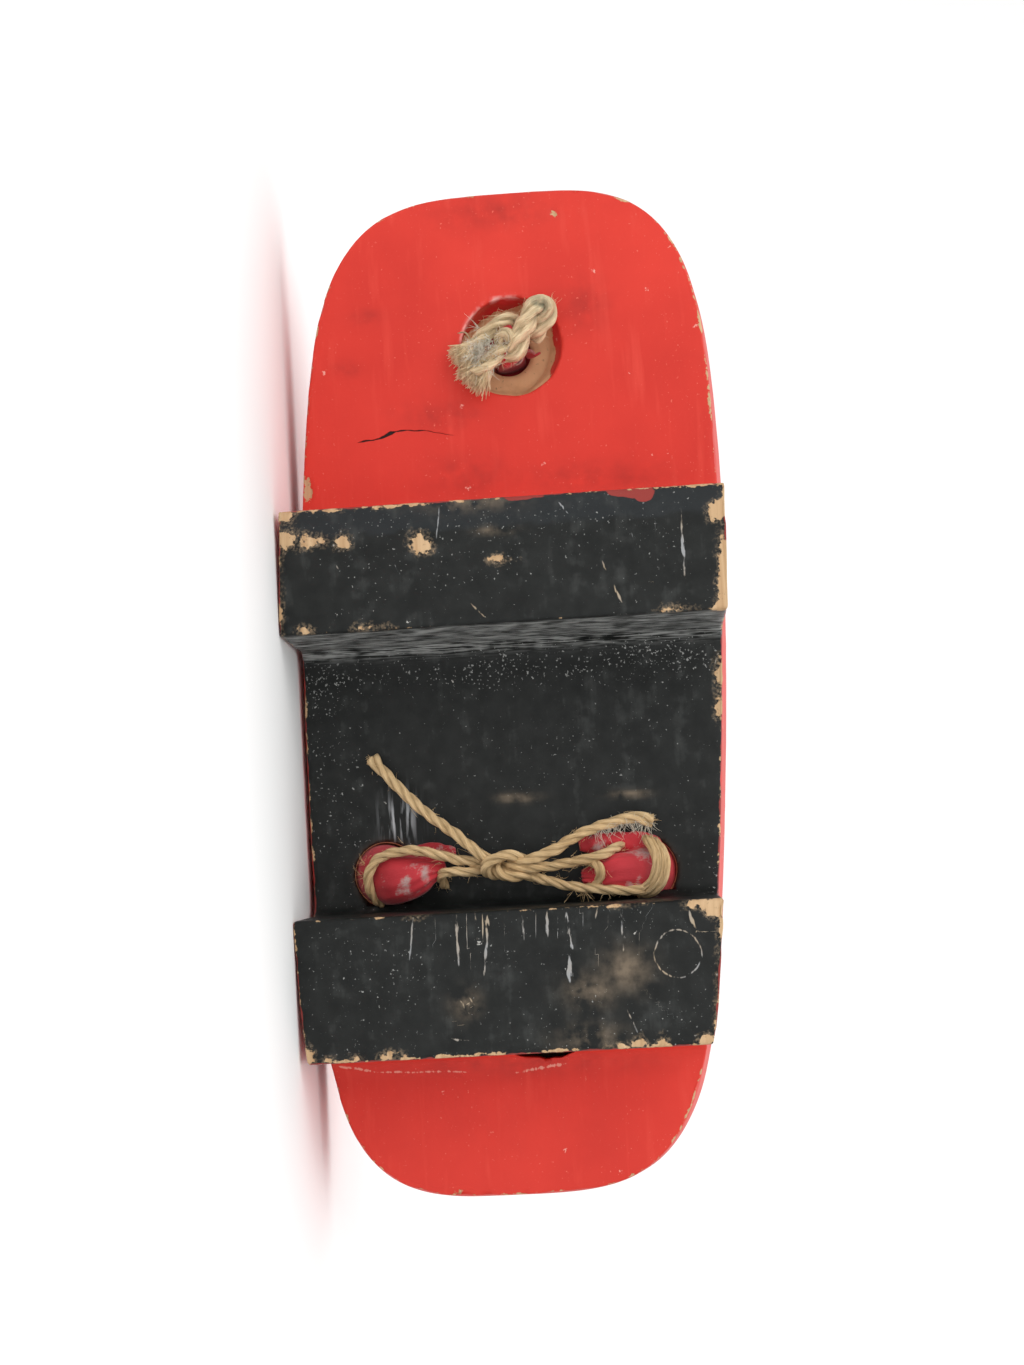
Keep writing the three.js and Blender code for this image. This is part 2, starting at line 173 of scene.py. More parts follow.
def grid_faces(rows, columns, closed=False):
    """Four-cornered faces of a grid of rows by columns; closed joins the last column to the first."""
    row = np.arange(rows - 1)[:, None]
    column = np.arange(columns if closed else columns - 1)[None, :]
    after = (column + 1) % columns
    corners = (row * columns + column, row * columns + after, (row + 1) * columns + after)
    return np.stack([*corners, (row + 1) * columns + column], axis=-1).reshape(-1, 4)


def smooth_path(places, step):
    """Points a step apart on the uniform Catmull-Rom curve through the places."""
    places = np.array(places, float)
    padded = np.vstack([2 * places[0] - places[1], places, 2 * places[-1] - places[-2]])
    t = np.linspace(0, 1, 40, endpoint=False)[:, None]
    spans = []
    for a, b, c, d in zip(padded, padded[1:], padded[2:], padded[3:]):
        cubic = (3 * b - a - 3 * c + d) * t**3
        spans.append(0.5 * (2 * b + (c - a) * t + (2 * a - 5 * b + 4 * c - d) * t**2 + cubic))
    fine = np.vstack([*spans, places[-1]])
    run = np.concatenate([[0], np.cumsum(np.linalg.norm(np.diff(fine, axis=0), axis=1))])
    even = np.linspace(0, run[-1], max(3, int(run[-1] / step) + 1))
    return np.stack([np.interp(even, run, fine[:, k]) for k in range(fine.shape[1])], axis=1)


def run_along(path):
    """How far along the path each of its points lies."""
    return np.concatenate([[0], np.cumsum(np.linalg.norm(np.diff(path, axis=0), axis=1))])


def carried_frames(path):
    """Tangent and two normals at each point, the first normal carried along by the least turn."""
    tangent = np.gradient(path, axis=0)
    tangent /= np.linalg.norm(tangent, axis=1, keepdims=True)
    start = np.array([0.0, 0.0, -1.0]) if abs(tangent[0, 2]) < 0.9 else np.array([0.0, 1.0, 0.0])
    normal = np.zeros_like(path)
    for i, along in enumerate(tangent):
        start = start - along * (start @ along)
        start /= np.linalg.norm(start)
        normal[i] = start
    return tangent, normal, np.cross(tangent, normal)


def closed_tube(rings):
    """Points and faces of a tube over rings (count, sides, 3) whose two ends are closed by fans."""
    count, sides, _ = rings.shape
    hubs = rings[[0, -1]].mean(axis=1)
    points = np.vstack([rings.reshape(-1, 3), hubs])
    first, last = count * sides, count * sides + 1
    around = np.arange(sides)
    after = (around + 1) % sides
    near = np.stack([np.full(sides, first), after, around], axis=1)
    far_row = (count - 1) * sides
    far = np.stack([np.full(sides, last), far_row + around, far_row + after], axis=1)
    return points, grid_faces(count, sides, closed=True).tolist() + near.tolist() + far.tolist()


def join(parts):
    """Several (points, faces, vectors) as one, the faces renumbered."""
    points = np.vstack([p for p, _, _ in parts])
    vectors = np.vstack([v for _, _, v in parts])
    faces = []
    start = 0
    for p, f, _ in parts:
        faces.extend([[i + start for i in face] for face in f])
        start += len(p)
    return points, faces, vectors


def flare(z):
    """How far the sides stand out of the plan at a height: 0 at the foot of the board, more either way."""
    return np.where(
        z < BOARD_FOOT,
        GROUND_FLARE * (1 - z / BOARD_FOOT),
        TREAD_FLARE * np.clip((z - BOARD_FOOT) / (TREAD - TREAD_EDGE - BOARD_FOOT), 0, 1),
    )


def side_width(y):
    """Half the width between the bowed sides, were the ends square: widest less bow times distance squared."""
    return HALF_WIDTH - np.where(y > WIDEST_AT, BOW_TO_TOE, BOW_TO_HEEL) * (y - WIDEST_AT) ** 2


def end_share(y):
    """How far into the rounded end a place lies, from 0 where the rounding starts to 1 at the tip."""
    length = np.where(y > 0, TOE_ROUND, HEEL_ROUND)
    return np.clip((np.abs(y) - (HALF_LENGTH - length)) / length, 0, 1)


def half_width(y):
    """Half the width of the underside: the side width times (1 - share^p)^(1/p)."""
    return side_width(y) * (1 - end_share(y) ** ROUND_POWER) ** (1 / ROUND_POWER)


def plan_inset(x, y):
    """Distance inside the plan outline, and the outline's outward normal.

    The plan is where g = ((|x| / side)^p + share^p)^(1/p) is 1; the distance is (1 - g) over g's slope.
    """
    side = side_width(y)
    length = np.where(y > 0, TOE_ROUND, HEEL_ROUND)
    bow = -2 * np.where(y > WIDEST_AT, BOW_TO_TOE, BOW_TO_HEEL) * (y - WIDEST_AT)
    across = np.abs(x) / side
    share = end_share(y)
    g = np.maximum((across**ROUND_POWER + share**ROUND_POWER) ** (1 / ROUND_POWER), 1e-3)
    weight = g ** (1 - ROUND_POWER)
    slope_x = weight * across ** (ROUND_POWER - 1) / side * np.sign(x)
    slope_y = weight * share ** (ROUND_POWER - 1) / length * np.sign(y)
    slope_y = slope_y - weight * across**ROUND_POWER * bow / side
    steep = np.maximum(np.hypot(slope_x, slope_y), 1e-4)
    return (1 - g) / steep, np.stack([slope_x, slope_y], axis=-1) / steep[..., None]


def end_lift(y):
    """How far the underside rises at the toe and the heel: a parabola from where the lift starts."""
    toe = 4.0 * (np.clip(y - TOE_LIFT_FROM, 0, None) / 40.5) ** 2
    heel = 2.4 * (np.clip(HEEL_LIFT_FROM - y, 0, None) / 26.5) ** 2
    return toe + heel


def straight(a, b, step):
    """Points from a up to b, b left out."""
    count = max(1, int(np.hypot(b[0] - a[0], b[1] - a[1]) / step))
    t = np.linspace(0, 1, count, endpoint=False)[:, None]
    return np.array(a) * (1 - t) + np.array(b) * t


def bend(a, corner, b, count):
    """Points on the quadratic curve from a towards the corner and on to b, b left out."""
    t = np.linspace(0, 1, count, endpoint=False)[:, None]
    return np.array(a) * (1 - t) ** 2 + 2 * np.array(corner) * t * (1 - t) + np.array(b) * t**2


def tooth_profile(heel_side, toe_side):
    """The side view of one tooth as (y, z) rows with the y that each row has on the tread.

    Fillet, leaning face, rounded arris, ground face, and the same again backwards. On the tread the faces
    take up seven millimetres each, so that the lines of the wall between them never cross.
    """
    lean = TOOTH_TAPER * FILLET / BOARD_FOOT
    back, front = heel_side - TOOTH_TAPER, toe_side + TOOTH_TAPER
    root_z = BOARD_FOOT - FILLET
    arris = 1.1
    pieces = [
        bend((back - FILLET, BOARD_FOOT), (back, BOARD_FOOT), (back + lean, root_z), 8),
        straight((back + lean, root_z), (heel_side, arris), 1.2),
        bend((heel_side, arris), (heel_side, 0), (heel_side + arris, 0), ARRIS_STEPS),
        straight((heel_side + arris, 0), (toe_side - arris, 0), 0.85),
        bend((toe_side - arris, 0), (toe_side, 0), (toe_side, arris), ARRIS_STEPS),
        straight((toe_side, arris), (front - lean, root_z), 1.2),
        bend((front - lean, root_z), (front, BOARD_FOOT), (front + FILLET, BOARD_FOOT), 8),
    ]
    inward = 7.0
    knots = [back - FILLET, back, back + inward, back + inward + 1]
    knots += [front - inward - 1, front - inward, front, front + FILLET]
    on_tread = [np.linspace(a, b, len(p), endpoint=False) for p, a, b in zip(pieces, knots, knots[1:])]
    return np.vstack(pieces), np.concatenate(on_tread)


def middle_rows():
    """All (y, z) rows between the two end caps, heel to toe, with their y on the tread."""
    rear, rear_tread = tooth_profile(*REAR_TOOTH)
    front, front_tread = tooth_profile(*FRONT_TOOTH)
    heel_root = REAR_TOOTH[0] - TOOTH_TAPER - FILLET
    waist = (REAR_TOOTH[1] + TOOTH_TAPER + FILLET, FRONT_TOOTH[0] - TOOTH_TAPER - FILLET)
    toe_root = FRONT_TOOTH[1] + TOOTH_TAPER + FILLET
    heel = straight((HEEL_CAP_FROM, BOARD_FOOT), (heel_root, BOARD_FOOT), 0.6)
    middle = straight((waist[0], BOARD_FOOT), (waist[1], BOARD_FOOT), 0.85)
    toe = straight((toe_root, BOARD_FOOT), (TOE_CAP_FROM, BOARD_FOOT), 1.0)
    rows = np.vstack([heel, rear, middle, front, toe])
    return rows, np.concatenate([heel[:, 0], rear_tread, middle[:, 0], front_tread, toe[:, 0]])


def end_cap(start, rows):
    """Plan grid (rows, COLUMNS, 2) of a rounded end, from the straight line at start to the tip.

    A Coons patch: two facing boundary curves blended each way, less the blend of the four corners. The side
    curves run to where the end turns half way, and the far curve runs over the tip between them.
    """
    sign = np.sign(start)
    length = TOE_ROUND if sign > 0 else HEEL_ROUND
    turn = np.linspace(0, np.pi / 2, 800)
    y = sign * (HALF_LENGTH - length + length * np.sin(turn) ** (2 / ROUND_POWER))
    x = side_width(y) * np.cos(turn) ** (2 / ROUND_POWER)
    lead_y = np.linspace(start, y[0], 60, endpoint=False)
    curve = np.stack([np.append(half_width(lead_y), x), np.append(lead_y, y)], axis=1)
    if sign * start > sign * y[0]:
        curve = np.stack([x, y], axis=1)[sign * y >= sign * start]
    half_turned = HALF_LENGTH - length + length * 0.5 ** (1 / ROUND_POWER)
    corner = np.argmin(np.abs(curve[:, 1] - sign * half_turned))

    def even(points, count):
        run = run_along(points)
        places = np.linspace(0, run[-1], count)
        return np.stack([np.interp(places, run, points[:, k]) for k in range(2)], axis=1)

    right = even(curve[: corner + 1], rows)[:, None, :]
    tip = curve[corner:]
    over = np.vstack([tip, (tip * [-1, 1])[::-1][1:]])
    far = even(over, COLUMNS)[::-1][None, :, :]
    left = right * [-1, 1]
    q = np.linspace(0, 1, COLUMNS)[None, :, None]
    p = np.linspace(0, 1, rows)[:, None, None]
    near = left[0] * (1 - q) + right[0] * q
    corners = (1 - p) * near + p * (far[:, :1] * (1 - q) + far[:, -1:] * q)
    return (1 - p) * near + p * far + (1 - q) * left + q * right - corners


def block_grid():
    """The painted block before its holes: points and faces, in the shoe's frame.

    The underside and the tread are two grids of the same rows and columns. Rings of wall join their edges:
    rounded arris, straight wall, rounded tread edge.
    """
    rows, tread_y = middle_rows()
    q = np.linspace(-1, 1, COLUMNS)[None, :]
    toe = end_cap(TOE_CAP_FROM, 40)
    heel = end_cap(HEEL_CAP_FROM, 28)[:0:-1]
    middle_low = np.stack(np.broadcast_arrays(q * half_width(rows[:, :1]), rows[:, :1]), axis=-1)
    middle_top = np.stack(np.broadcast_arrays(q * half_width(tread_y[:, None]), tread_y[:, None]), axis=-1)
    low = np.concatenate([heel, middle_low, toe])
    top = np.concatenate([heel, middle_top, toe])
    z = BOARD_FOOT + end_lift(low[..., 1])
    middle = slice(len(heel), len(heel) + len(rows))
    z[middle] = rows[:, 1:2]
    tip_share = np.clip((np.abs(low[..., 1]) - 74) / (HALF_LENGTH - 74), 0, 1)
    under = np.stack(
        [
            low[..., 0] * (1 + (flare(z) - ARRIS) / HALF_WIDTH),
            low[..., 1] * (1 - ARRIS * tip_share / HALF_LENGTH),
            z,
        ],
        axis=-1,
    )
    count = under.shape[0]
    slope = np.gradient(np.stack([low[:, COLUMNS // 2, 1], z[:, COLUMNS // 2]], axis=1), axis=0)
    slope /= np.linalg.norm(slope, axis=1, keepdims=True)
    down = np.zeros_like(under)
    down[..., 1] = slope[:, 1:2]
    down[..., 2] = -slope[:, :1]
    down[: len(heel)] = down[-len(toe) :] = (0, 0, -1)

    index = np.arange(count * COLUMNS).reshape(count, COLUMNS)
    edge = np.concatenate([index[0], index[1:, -1], index[-1, -2::-1], index[-2:0:-1, 0]])
    flat_low, flat_top = low.reshape(-1, 2)[edge], top.reshape(-1, 2)[edge]
    start, normal = under.reshape(-1, 3)[edge], down.reshape(-1, 3)[edge]
    out = np.zeros_like(start)
    out[:, :2] = plan_inset(flat_low[:, 0], flat_low[:, 1])[1]
    rings = []
    for turn in np.linspace(0, np.pi / 2, ARRIS_STEPS + 1)[1:]:
        rings.append(start - ARRIS * normal + ARRIS * (normal * np.cos(turn) + out * np.sin(turn)))
    foot = rings[-1]
    is_side = np.abs(flat_low[:, 0] - np.sign(flat_low[:, 0]) * half_width(flat_low[:, 1])) < 0.02
    in_middle = is_side & (np.abs(flat_low[:, 1] - flat_top[:, 1]) > 1e-6)
    wall_top = TREAD - TREAD_EDGE
    for share in np.linspace(0, 1, WALL_STEPS + 1)[1:]:
        height = foot[:, 2] * (1 - share) + wall_top * share
        along = foot[:, 1] * (1 - share) + flat_top[:, 1] * share
        wide = np.sign(flat_low[:, 0]) * half_width(along)
        plan_x = np.where(in_middle, wide, flat_low[:, 0])
        plan_y = np.where(in_middle, along, flat_low[:, 1])
        grown = flare(height)
        rings.append(np.stack([plan_x * (1 + grown / HALF_WIDTH), plan_y * (1 + grown / HALF_LENGTH), height], 1))
    turns = np.linspace(0, np.pi / 2, 6)[1:]
    for turn in turns[:-1]:
        grown = TREAD_FLARE - TREAD_EDGE * (1 - np.cos(turn))
        height = np.full(len(edge), wall_top + TREAD_EDGE * np.sin(turn))
        scaled = flat_top * [1 + grown / HALF_WIDTH, 1 + grown / HALF_LENGTH]
        rings.append(np.column_stack([scaled, height]))
    grown = TREAD_FLARE - TREAD_EDGE
    scaled = top * [1 + grown / HALF_WIDTH, 1 + grown / HALF_LENGTH]
    tread = np.concatenate([scaled, np.full((count, COLUMNS, 1), TREAD)], axis=-1)

    points = np.vstack([under.reshape(-1, 3), *rings, tread.reshape(-1, 3)])
    rim = count * COLUMNS
    numbers = [edge] + [rim + k * len(edge) + np.arange(len(edge)) for k in range(len(rings))]
    tread_start = rim + len(rings) * len(edge)
    numbers.append(tread_start + edge)
    walls = [
        np.stack([a, np.roll(a, -1), np.roll(b, -1), b], axis=1) for a, b in zip(numbers, numbers[1:])
    ]
    sheet = grid_faces(count, COLUMNS)
    faces = np.vstack([sheet[:, ::-1], *walls, tread_start + sheet])
    points[:, 1] += SKEW * points[:, 0]
    return points, faces


def lathe(profile, centre, sides):
    """A closed solid turned about a line parallel to z: profile rows are (radius, z), upwards."""
    turn = np.linspace(0, 2 * np.pi, sides, endpoint=False)
    radius, height = np.array(profile, float).T
    ring = np.stack(
        [
            centre[0] + radius[:, None] * np.cos(turn),
            centre[1] + radius[:, None] * np.sin(turn),
            np.broadcast_to(height[:, None], (len(radius), sides)),
        ],
        axis=-1,
    )
    return closed_tube(ring)


def toe_cutter():
    """Recess and hole under the toe: a flared mouth, a cone and a bore, uneven but for its rim and the bore."""
    wall = np.linspace(0, 1, 9)
    cone = [(RECESS_MOUTH + (RECESS_FLOOR - RECESS_MOUTH) * t, BOARD_FOOT + RECESS_DEPTH * t) for t in wall]
    floor = [(r, BOARD_FOOT + RECESS_DEPTH + 0.15 * (9.4 - r)) for r in (8.4, 7.4, 6.4)]
    lead = [(RECESS_MOUTH + 3, BOARD_FOOT - 8), (RECESS_MOUTH + 0.5, BOARD_FOOT - 0.3)]
    bore = [(TOE_HOLE_RADIUS, BOARD_FOOT + RECESS_DEPTH + 0.8), (TOE_HOLE_RADIUS, TREAD + 6)]
    points, faces = lathe([*lead, *cone, *floor, *bore], (0, TOE_HOLE_Y), 96)
    points[:, 0] += RECESS_SHIFT * np.clip((BOARD_FOOT + RECESS_DEPTH - points[:, 2]) / RECESS_DEPTH, 0, 1)
    carved = np.clip((points[:, 2] - BOARD_FOOT) / 2, 0, 1) * (np.hypot(points[:, 0], points[:, 1] - TOE_HOLE_Y) > 6)
    points += (carved * 0.55)[:, None] * np.stack([value_noise(points, 3.4, seed) for seed in (17, 18, 19)], axis=1)
    return points, faces


def rear_cutter(side):
    """A straight round bore that leans outwards as it rises, with a slightly worn rim underneath."""
    profile = [(REAR_HOLE_RADIUS + 1.4, BOARD_FOOT - 1), (REAR_HOLE_RADIUS, BOARD_FOOT + 0.6)]
    profile += [(REAR_HOLE_RADIUS, z) for z in np.linspace(BOARD_FOOT + 3, TREAD + 6, 8)]
    points, faces = lathe(profile, (0, REAR_HOLE_Y), 64)
    lean = (REAR_HOLE_TREAD - REAR_HOLE_UNDER) / (TREAD - BOARD_FOOT)
    points[:, 0] += side * (REAR_HOLE_UNDER + lean * (points[:, 2] - BOARD_FOOT))
    return points, faces


def notch_cutter():
    """A shallow half moon gouged against the back of the rear tooth: depth times (1 - (x / half)^2)."""
    t = np.linspace(-1, 1, 25)
    root = REAR_TOOTH[0] - TOOTH_TAPER + 0.1
    ragged = 0.35 * value_noise(np.stack([9 * t, 0 * t, 0 * t], axis=1), 2.0, 8) * (1 - t**2)
    moon = np.stack([NOTCH_X + NOTCH_HALF * t, root - NOTCH_DEPTH * (1 - t**2) + ragged], axis=1)
    back = np.stack([NOTCH_X + NOTCH_HALF * t[::-1], np.full(25, root + 0.3)], axis=1)
    plan = np.vstack([moon, back])
    plan[:, 1] += SKEW * plan[:, 0]
    levels = [np.column_stack([plan, np.full(len(plan), z)]) for z in (16.0, 24.0, 28.0, NOTCH_FLOOR)]
    return closed_tube(np.array(levels))


def carve(points, faces, cutters):
    """The block's mesh with the cutters taken out of it by Boolean modifiers, which are applied."""
    block = show(bare_mesh("block_paint", points, faces))
    tools = [show(bare_mesh("cutter", *cutter)) for cutter in cutters]
    for tool in tools:
        step = block.modifiers.new("cut", "BOOLEAN")
        step.object = tool
        step.operation = "DIFFERENCE"
        step.solver = "MANIFOLD"
    cut = bpy.data.meshes.new_from_object(block.evaluated_get(bpy.context.evaluated_depsgraph_get()))
    block.modifiers.clear()
    block.data = cut
    for tool in tools:
        bpy.data.objects.remove(tool)
    return block


def mesh_points(mesh):
    """A mesh's vertices in the shoe's frame, in millimetres."""
    co = np.zeros(len(mesh.vertices) * 3)
    mesh.vertices.foreach_get("co", co)
    back = np.array(SHOE.inverted())
    return co.reshape(-1, 3) @ back[:3, :3].T + back[:3, 3]


# Chips and bare patches: across the shoe, along it, height, and half their size each way
GROUND, BOARD = 0.0, BOARD_FOOT
CHIPS = [
    (46.5, 34.6, GROUND, 2.9, 2.1, 4.0),
    (46.3, 28.7, GROUND, 2.8, 1.9, 2.0),
    (40.3, 28.9, GROUND, 3.3, 1.6, 1.2),
    (34.1, 28.3, GROUND, 1.8, 1.7, 1.2),
    (17.2, 27.6, GROUND, 2.7, 2.5, 1.2),
    (0.1, 23.7, GROUND, 2.2, 0.9, 1.0),
    (-46.4, 32.5, GROUND, 2.6, 2.3, 4.0),
    (-47.4, 20.8, GROUND, 1.8, 10.4, 3.0),
    (-37.5, 12.3, GROUND, 2.0, 0.6, 1.0),
    (-46.5, 11.7, GROUND, 2.1, 1.5, 3.0),
    (42.2, 9.5, GROUND, 1.5, 0.9, 1.0),
    (28.5, 9.9, GROUND, 2.9, 0.7, 1.0),
    (47.8, 25.2, GROUND, 0.9, 2.4, 2.0),
    (47.6, 13.0, GROUND, 0.8, 4.5, 2.0),
    (35.9, 36.2, GROUND, 6.7, 0.6, 1.0),
    (-46.7, 1.2, BOARD, 1.9, 3.1, 2.0),
    (-46.2, -6.6, BOARD, 1.2, 3.0, 2.0),
    (45.8, 44.4, BOARD, 1.2, 3.0, 3.0),
    (-40.6, -49.4, GROUND, 3.6, 1.5, 2.0),
    (-43.6, -50.6, GROUND, 2.6, 3.0, 4.0),
    (-44.8, -54.2, GROUND, 1.1, 3.4, 2.0),
    (-43.9, -71.0, GROUND, 0.9, 7.4, 2.0),
    (-40.9, -77.8, GROUND, 2.2, 1.6, 2.0),
    (43.1, -80.6, GROUND, 2.4, 2.2, 4.0),
    (38.5, -81.4, GROUND, 1.3, 0.9, 1.0),
    (31.8, -80.9, GROUND, 1.5, 1.1, 1.2),
    (25.8, -80.8, GROUND, 2.5, 1.1, 1.2),
    (-27.2, -78.2, GROUND, 1.3, 1.4, 1.2),
    (-31.8, -78.0, GROUND, 1.0, 1.3, 1.2),
    (-23.3, -79.0, GROUND, 2.5, 0.8, 1.0),
    (45.2, -70.8, GROUND, 0.9, 0.8, 2.0),
    (19.6, -51.1, GROUND, 2.2, 0.7, 1.0),
    (-25.2, -49.3, GROUND, 1.9, 0.6, 1.0),
    (14.4, -112.3, BOARD, 2.7, 0.8, 1.2),
    (7.5, -112.4, BOARD, 1.1, 0.9, 1.2),
    (-0.9, -112.3, BOARD, 0.9, 0.8, 1.2),
    (-11.2, 107.0, BOARD, 0.9, 0.9, 3.0),
    (-16.3, 112.2, BOARD, 0.8, 0.8, 3.0),
]
# Where the black has gone and the red under it shows, on the ground faces: across, along, half sizes
RED_PATCHES = [(-4.8, 37.2, 3.8, 0.9), (-27.6, 37.9, 5.4, 1.7), (-30.6, 37.4, 2.0, 2.2)]
# Pale scratches and drips: from, to, height, half width
MARKS = [
    (-38.3, 33.4, -38.3, 28.1, GROUND, 0.20),
    (-38.3, 28.5, -38.7, 22.9, GROUND, 0.36),
    (-38.6, 22.3, -39.1, 17.4, GROUND, 0.20),
    (-21.4, 22.8, -22.2, 20.7, GROUND, 0.20),
    (-23.8, 17.6, -25.4, 13.7, GROUND, 0.22),
    (22.6, 23.2, 21.6, 21.0, GROUND, 0.20),
    (13.0, 35.3, 13.6, 28.5, GROUND, 0.10),
    (-27.7, 28.6, -28.1, 27.3, GROUND, 0.18),
    (35.5, 23.5, 34.8, 22.4, GROUND, 0.26),
    (-12.3, 35.6, -14.5, 33.0, GROUND, 0.18),
    (6.6, 14.4, 3.4, 11.3, GROUND, 0.10),
    (19.8, -51.5, 20.8, -60.5, GROUND, 0.12),
    (10.7, -51.0, 10.3, -61.9, GROUND, 0.32),
    (6.8, -50.7, 6.5, -56.4, GROUND, 0.20),
    (4.1, -51.3, 4.3, -56.4, GROUND, 0.38),
    (4.3, -56.4, 5.2, -64.0, GROUND, 0.24),
    (-3.0, -51.5, -3.4, -56.7, GROUND, 0.20),
    (-8.4, -50.5, -8.4, -56.2, GROUND, 0.26),
    (-12.3, -51.0, -13.1, -56.7, GROUND, 0.42),
    (-13.1, -56.7, -12.9, -65.7, GROUND, 0.52),
    (-18.9, -49.9, -18.5, -52.5, GROUND, 0.20),
    (-23.9, -49.5, -24.0, -59.4, GROUND, 0.26),
    (-37.9, -51.1, -39.3, -54.9, GROUND, 0.34),
    (-24.6, -71.2, -26.7, -76.2, GROUND, 0.14),
    (10.1, -69.0, 8.2, -71.8, GROUND, 0.26),
    (8.2, -68.4, 7.1, -70.0, GROUND, 0.26),
    (12.1, -76.7, 8.3, -77.3, GROUND, 0.20),
    (40.7, -83.7, 30.7, -85.6, BOARD, 0.26),
    (30.7, -85.6, 11.4, -85.6, BOARD, 0.18),
    (1.0, -86.1, -10.5, -84.1, BOARD, 0.30),
]
RING_MARK = (-35.4, -60.0, 4.9, 0.12)  # a round scratch on the rear tooth: across, along, radius, half width
# A drying crack in the toe board, and half its width along each stretch
CRACK = [(33.7, 55.3), (29.4, 56.0), (25.3, 57.6), (22.7, 57.8), (18.9, 57.6), (12.5, 56.4)]
CRACK_HALF = (0.14, 0.34, 0.16, 0.14, 0.05)
# Tan smudges on the black and painted shade on the red: across, along, half sizes, height
SMUDGES = [
    (-24.7, -63.2, 4.5, 3.9, GROUND),
    (-17.2, -67.4, 4.5, 3.2, GROUND),
    (-17.1, -77.2, 5.8, 2.6, GROUND),
    (8.9, -69.9, 2.6, 2.6, GROUND),
    (1.0, 29.9, 3.4, 0.8, GROUND),
    (6.6, 36.0, 8.6, 1.7, GROUND),
    (-0.5, -25.7, 4.3, 0.9, BOARD),
    (-25.6, -25.4, 3.8, 0.7, BOARD),
]
SHADES = [
    (2.8, 108.0, 13.0, 4.2, BOARD),
    (-17.3, 85.2, 5.5, 6.0, BOARD),
    (15.0, 61.0, 9.5, 3.2, BOARD),
    (36.1, 72.2, 3.2, 1.9, BOARD),
    (31.5, 84.0, 3.8, 1.9, BOARD),
    (9.4, 47.3, 9.0, 4.5, BOARD),
    (-20.0, 46.0, 16.0, 3.6, BOARD),
    (0.0, -84.0, 30.0, 3.0, BOARD),
]


# Painted highlight: pale gloss streaks of reflected light on the black board beside the hole
GLOSS_HIGHLIGHTS = [(25.6, -30.0, 3.2, 4.6, BOARD)]


def square(points):
    """x, y and z of points, with y as it would be were the block cut square."""
    x, y, z = points.T
    return x, y - SKEW * x, z


def tooth_end_gap(y):
    """Distance along y to the nearest tooth's ground face, 0 within one."""
    gaps = [np.maximum(np.maximum(low - y, y - high), 0) for low, high in (FRONT_TOOTH, REAR_TOOTH)]
    return np.minimum(*gaps)


def rocked(y):
    """How far the toe side of the front tooth's ground face is worn up: a parabola over its last part."""
    return 0.9 * np.clip((y - FRONT_TOOTH[1] + 6.5) / 6.5, 0, 1) ** 2


def arris_distance(points):
    """Distance to the nearest arris: round each ground face, up the teeth's corners, along the board's rim."""
    x, y, z = square(points)
    z = np.where((z < 2.5) & (y > 0) & (y < FRONT_TOOTH[1] + 1), np.maximum(z - rocked(y), 0), z)
    inset = plan_inset(x, y)[0] + flare(z)
    found = np.full(len(points), 99.0)
    for low, high in (FRONT_TOOTH, REAR_TOOTH):
        beyond = np.maximum(np.maximum(low - y, y - high), 0)
        found = np.minimum(found, np.hypot(np.hypot(inset, z), beyond))
        above = np.maximum(z - BOARD_FOOT + 1, 0)
        for side in (low, high):
            lean = np.sign(side - (low + high) / 2) * TOOTH_TAPER * np.clip(z / BOARD_FOOT, 0, 1)
            off = y - side - lean
            found = np.minimum(found, np.hypot(off, z))
            found = np.minimum(found, np.hypot(np.hypot(off, inset), above))
    off_teeth = np.clip(7.0 - tooth_end_gap(y), 0, None)
    rim = np.hypot(np.hypot(inset, z - BOARD_FOOT - end_lift(y)), off_teeth)
    return np.minimum(found, rim)


def rub(points):
    """How much more the teeth's outer arrises are rubbed to the wood than others, and the front heel side less."""
    x, y, z = square(points)
    toe_side = (z < 1.9) & (np.abs(y - FRONT_TOOTH[1]) < 1.8) & ((x > 8) | (x < -34))
    heel_side = (z < 3) & (np.abs(y - FRONT_TOOTH[0]) < 2.5)
    rear_side = (z < 1.9) & (np.abs(y - REAR_TOOTH[0]) < 1.8) & (x < 40)
    varied = 1 + 0.5 * value_noise(points, 4.0, 10)
    return (0.42 * toe_side + 0.34 * rear_side) * varied - 0.2 * heel_side


def black_depth(points):
    """Signed distance, in millimetres, inside the black paint.

    Black lies on the ground faces, on the teeth's inner faces and on the board between the teeth.
    """
    x, y, z = square(points)
    inset = plan_inset(x, y)[0] + flare(z)
    inner = (y > REAR_TOOTH[1] - 0.9) & (y < FRONT_TOOTH[0] + 0.9)
    from_ends = np.minimum(FRONT_TOOTH[1] - 0.2 - y, y - REAR_TOOTH[0] - 0.2)
    ground = np.minimum(np.minimum(from_ends, inset - 0.25), 4 - 4 * np.clip(z - 1.4, 0, 2))
    for across, along, half_x, half_y in RED_PATCHES:
        reach = np.hypot((x - across) / half_x, (points[:, 1] - along) / half_y)
        ground = np.minimum(ground, (reach - 1) * half_y + 0.4 * value_noise(points, 2.0, 7))
    between = np.minimum(inset - 0.25, 4.0)
    return np.where(inner & (z < BOARD_FOOT + 0.6), between, ground)


def recess_middle(z):
    """Across the shoe, the middle of the recess at a height."""
    return RECESS_SHIFT * np.clip((BOARD_FOOT + RECESS_DEPTH - z) / RECESS_DEPTH, 0, 1)


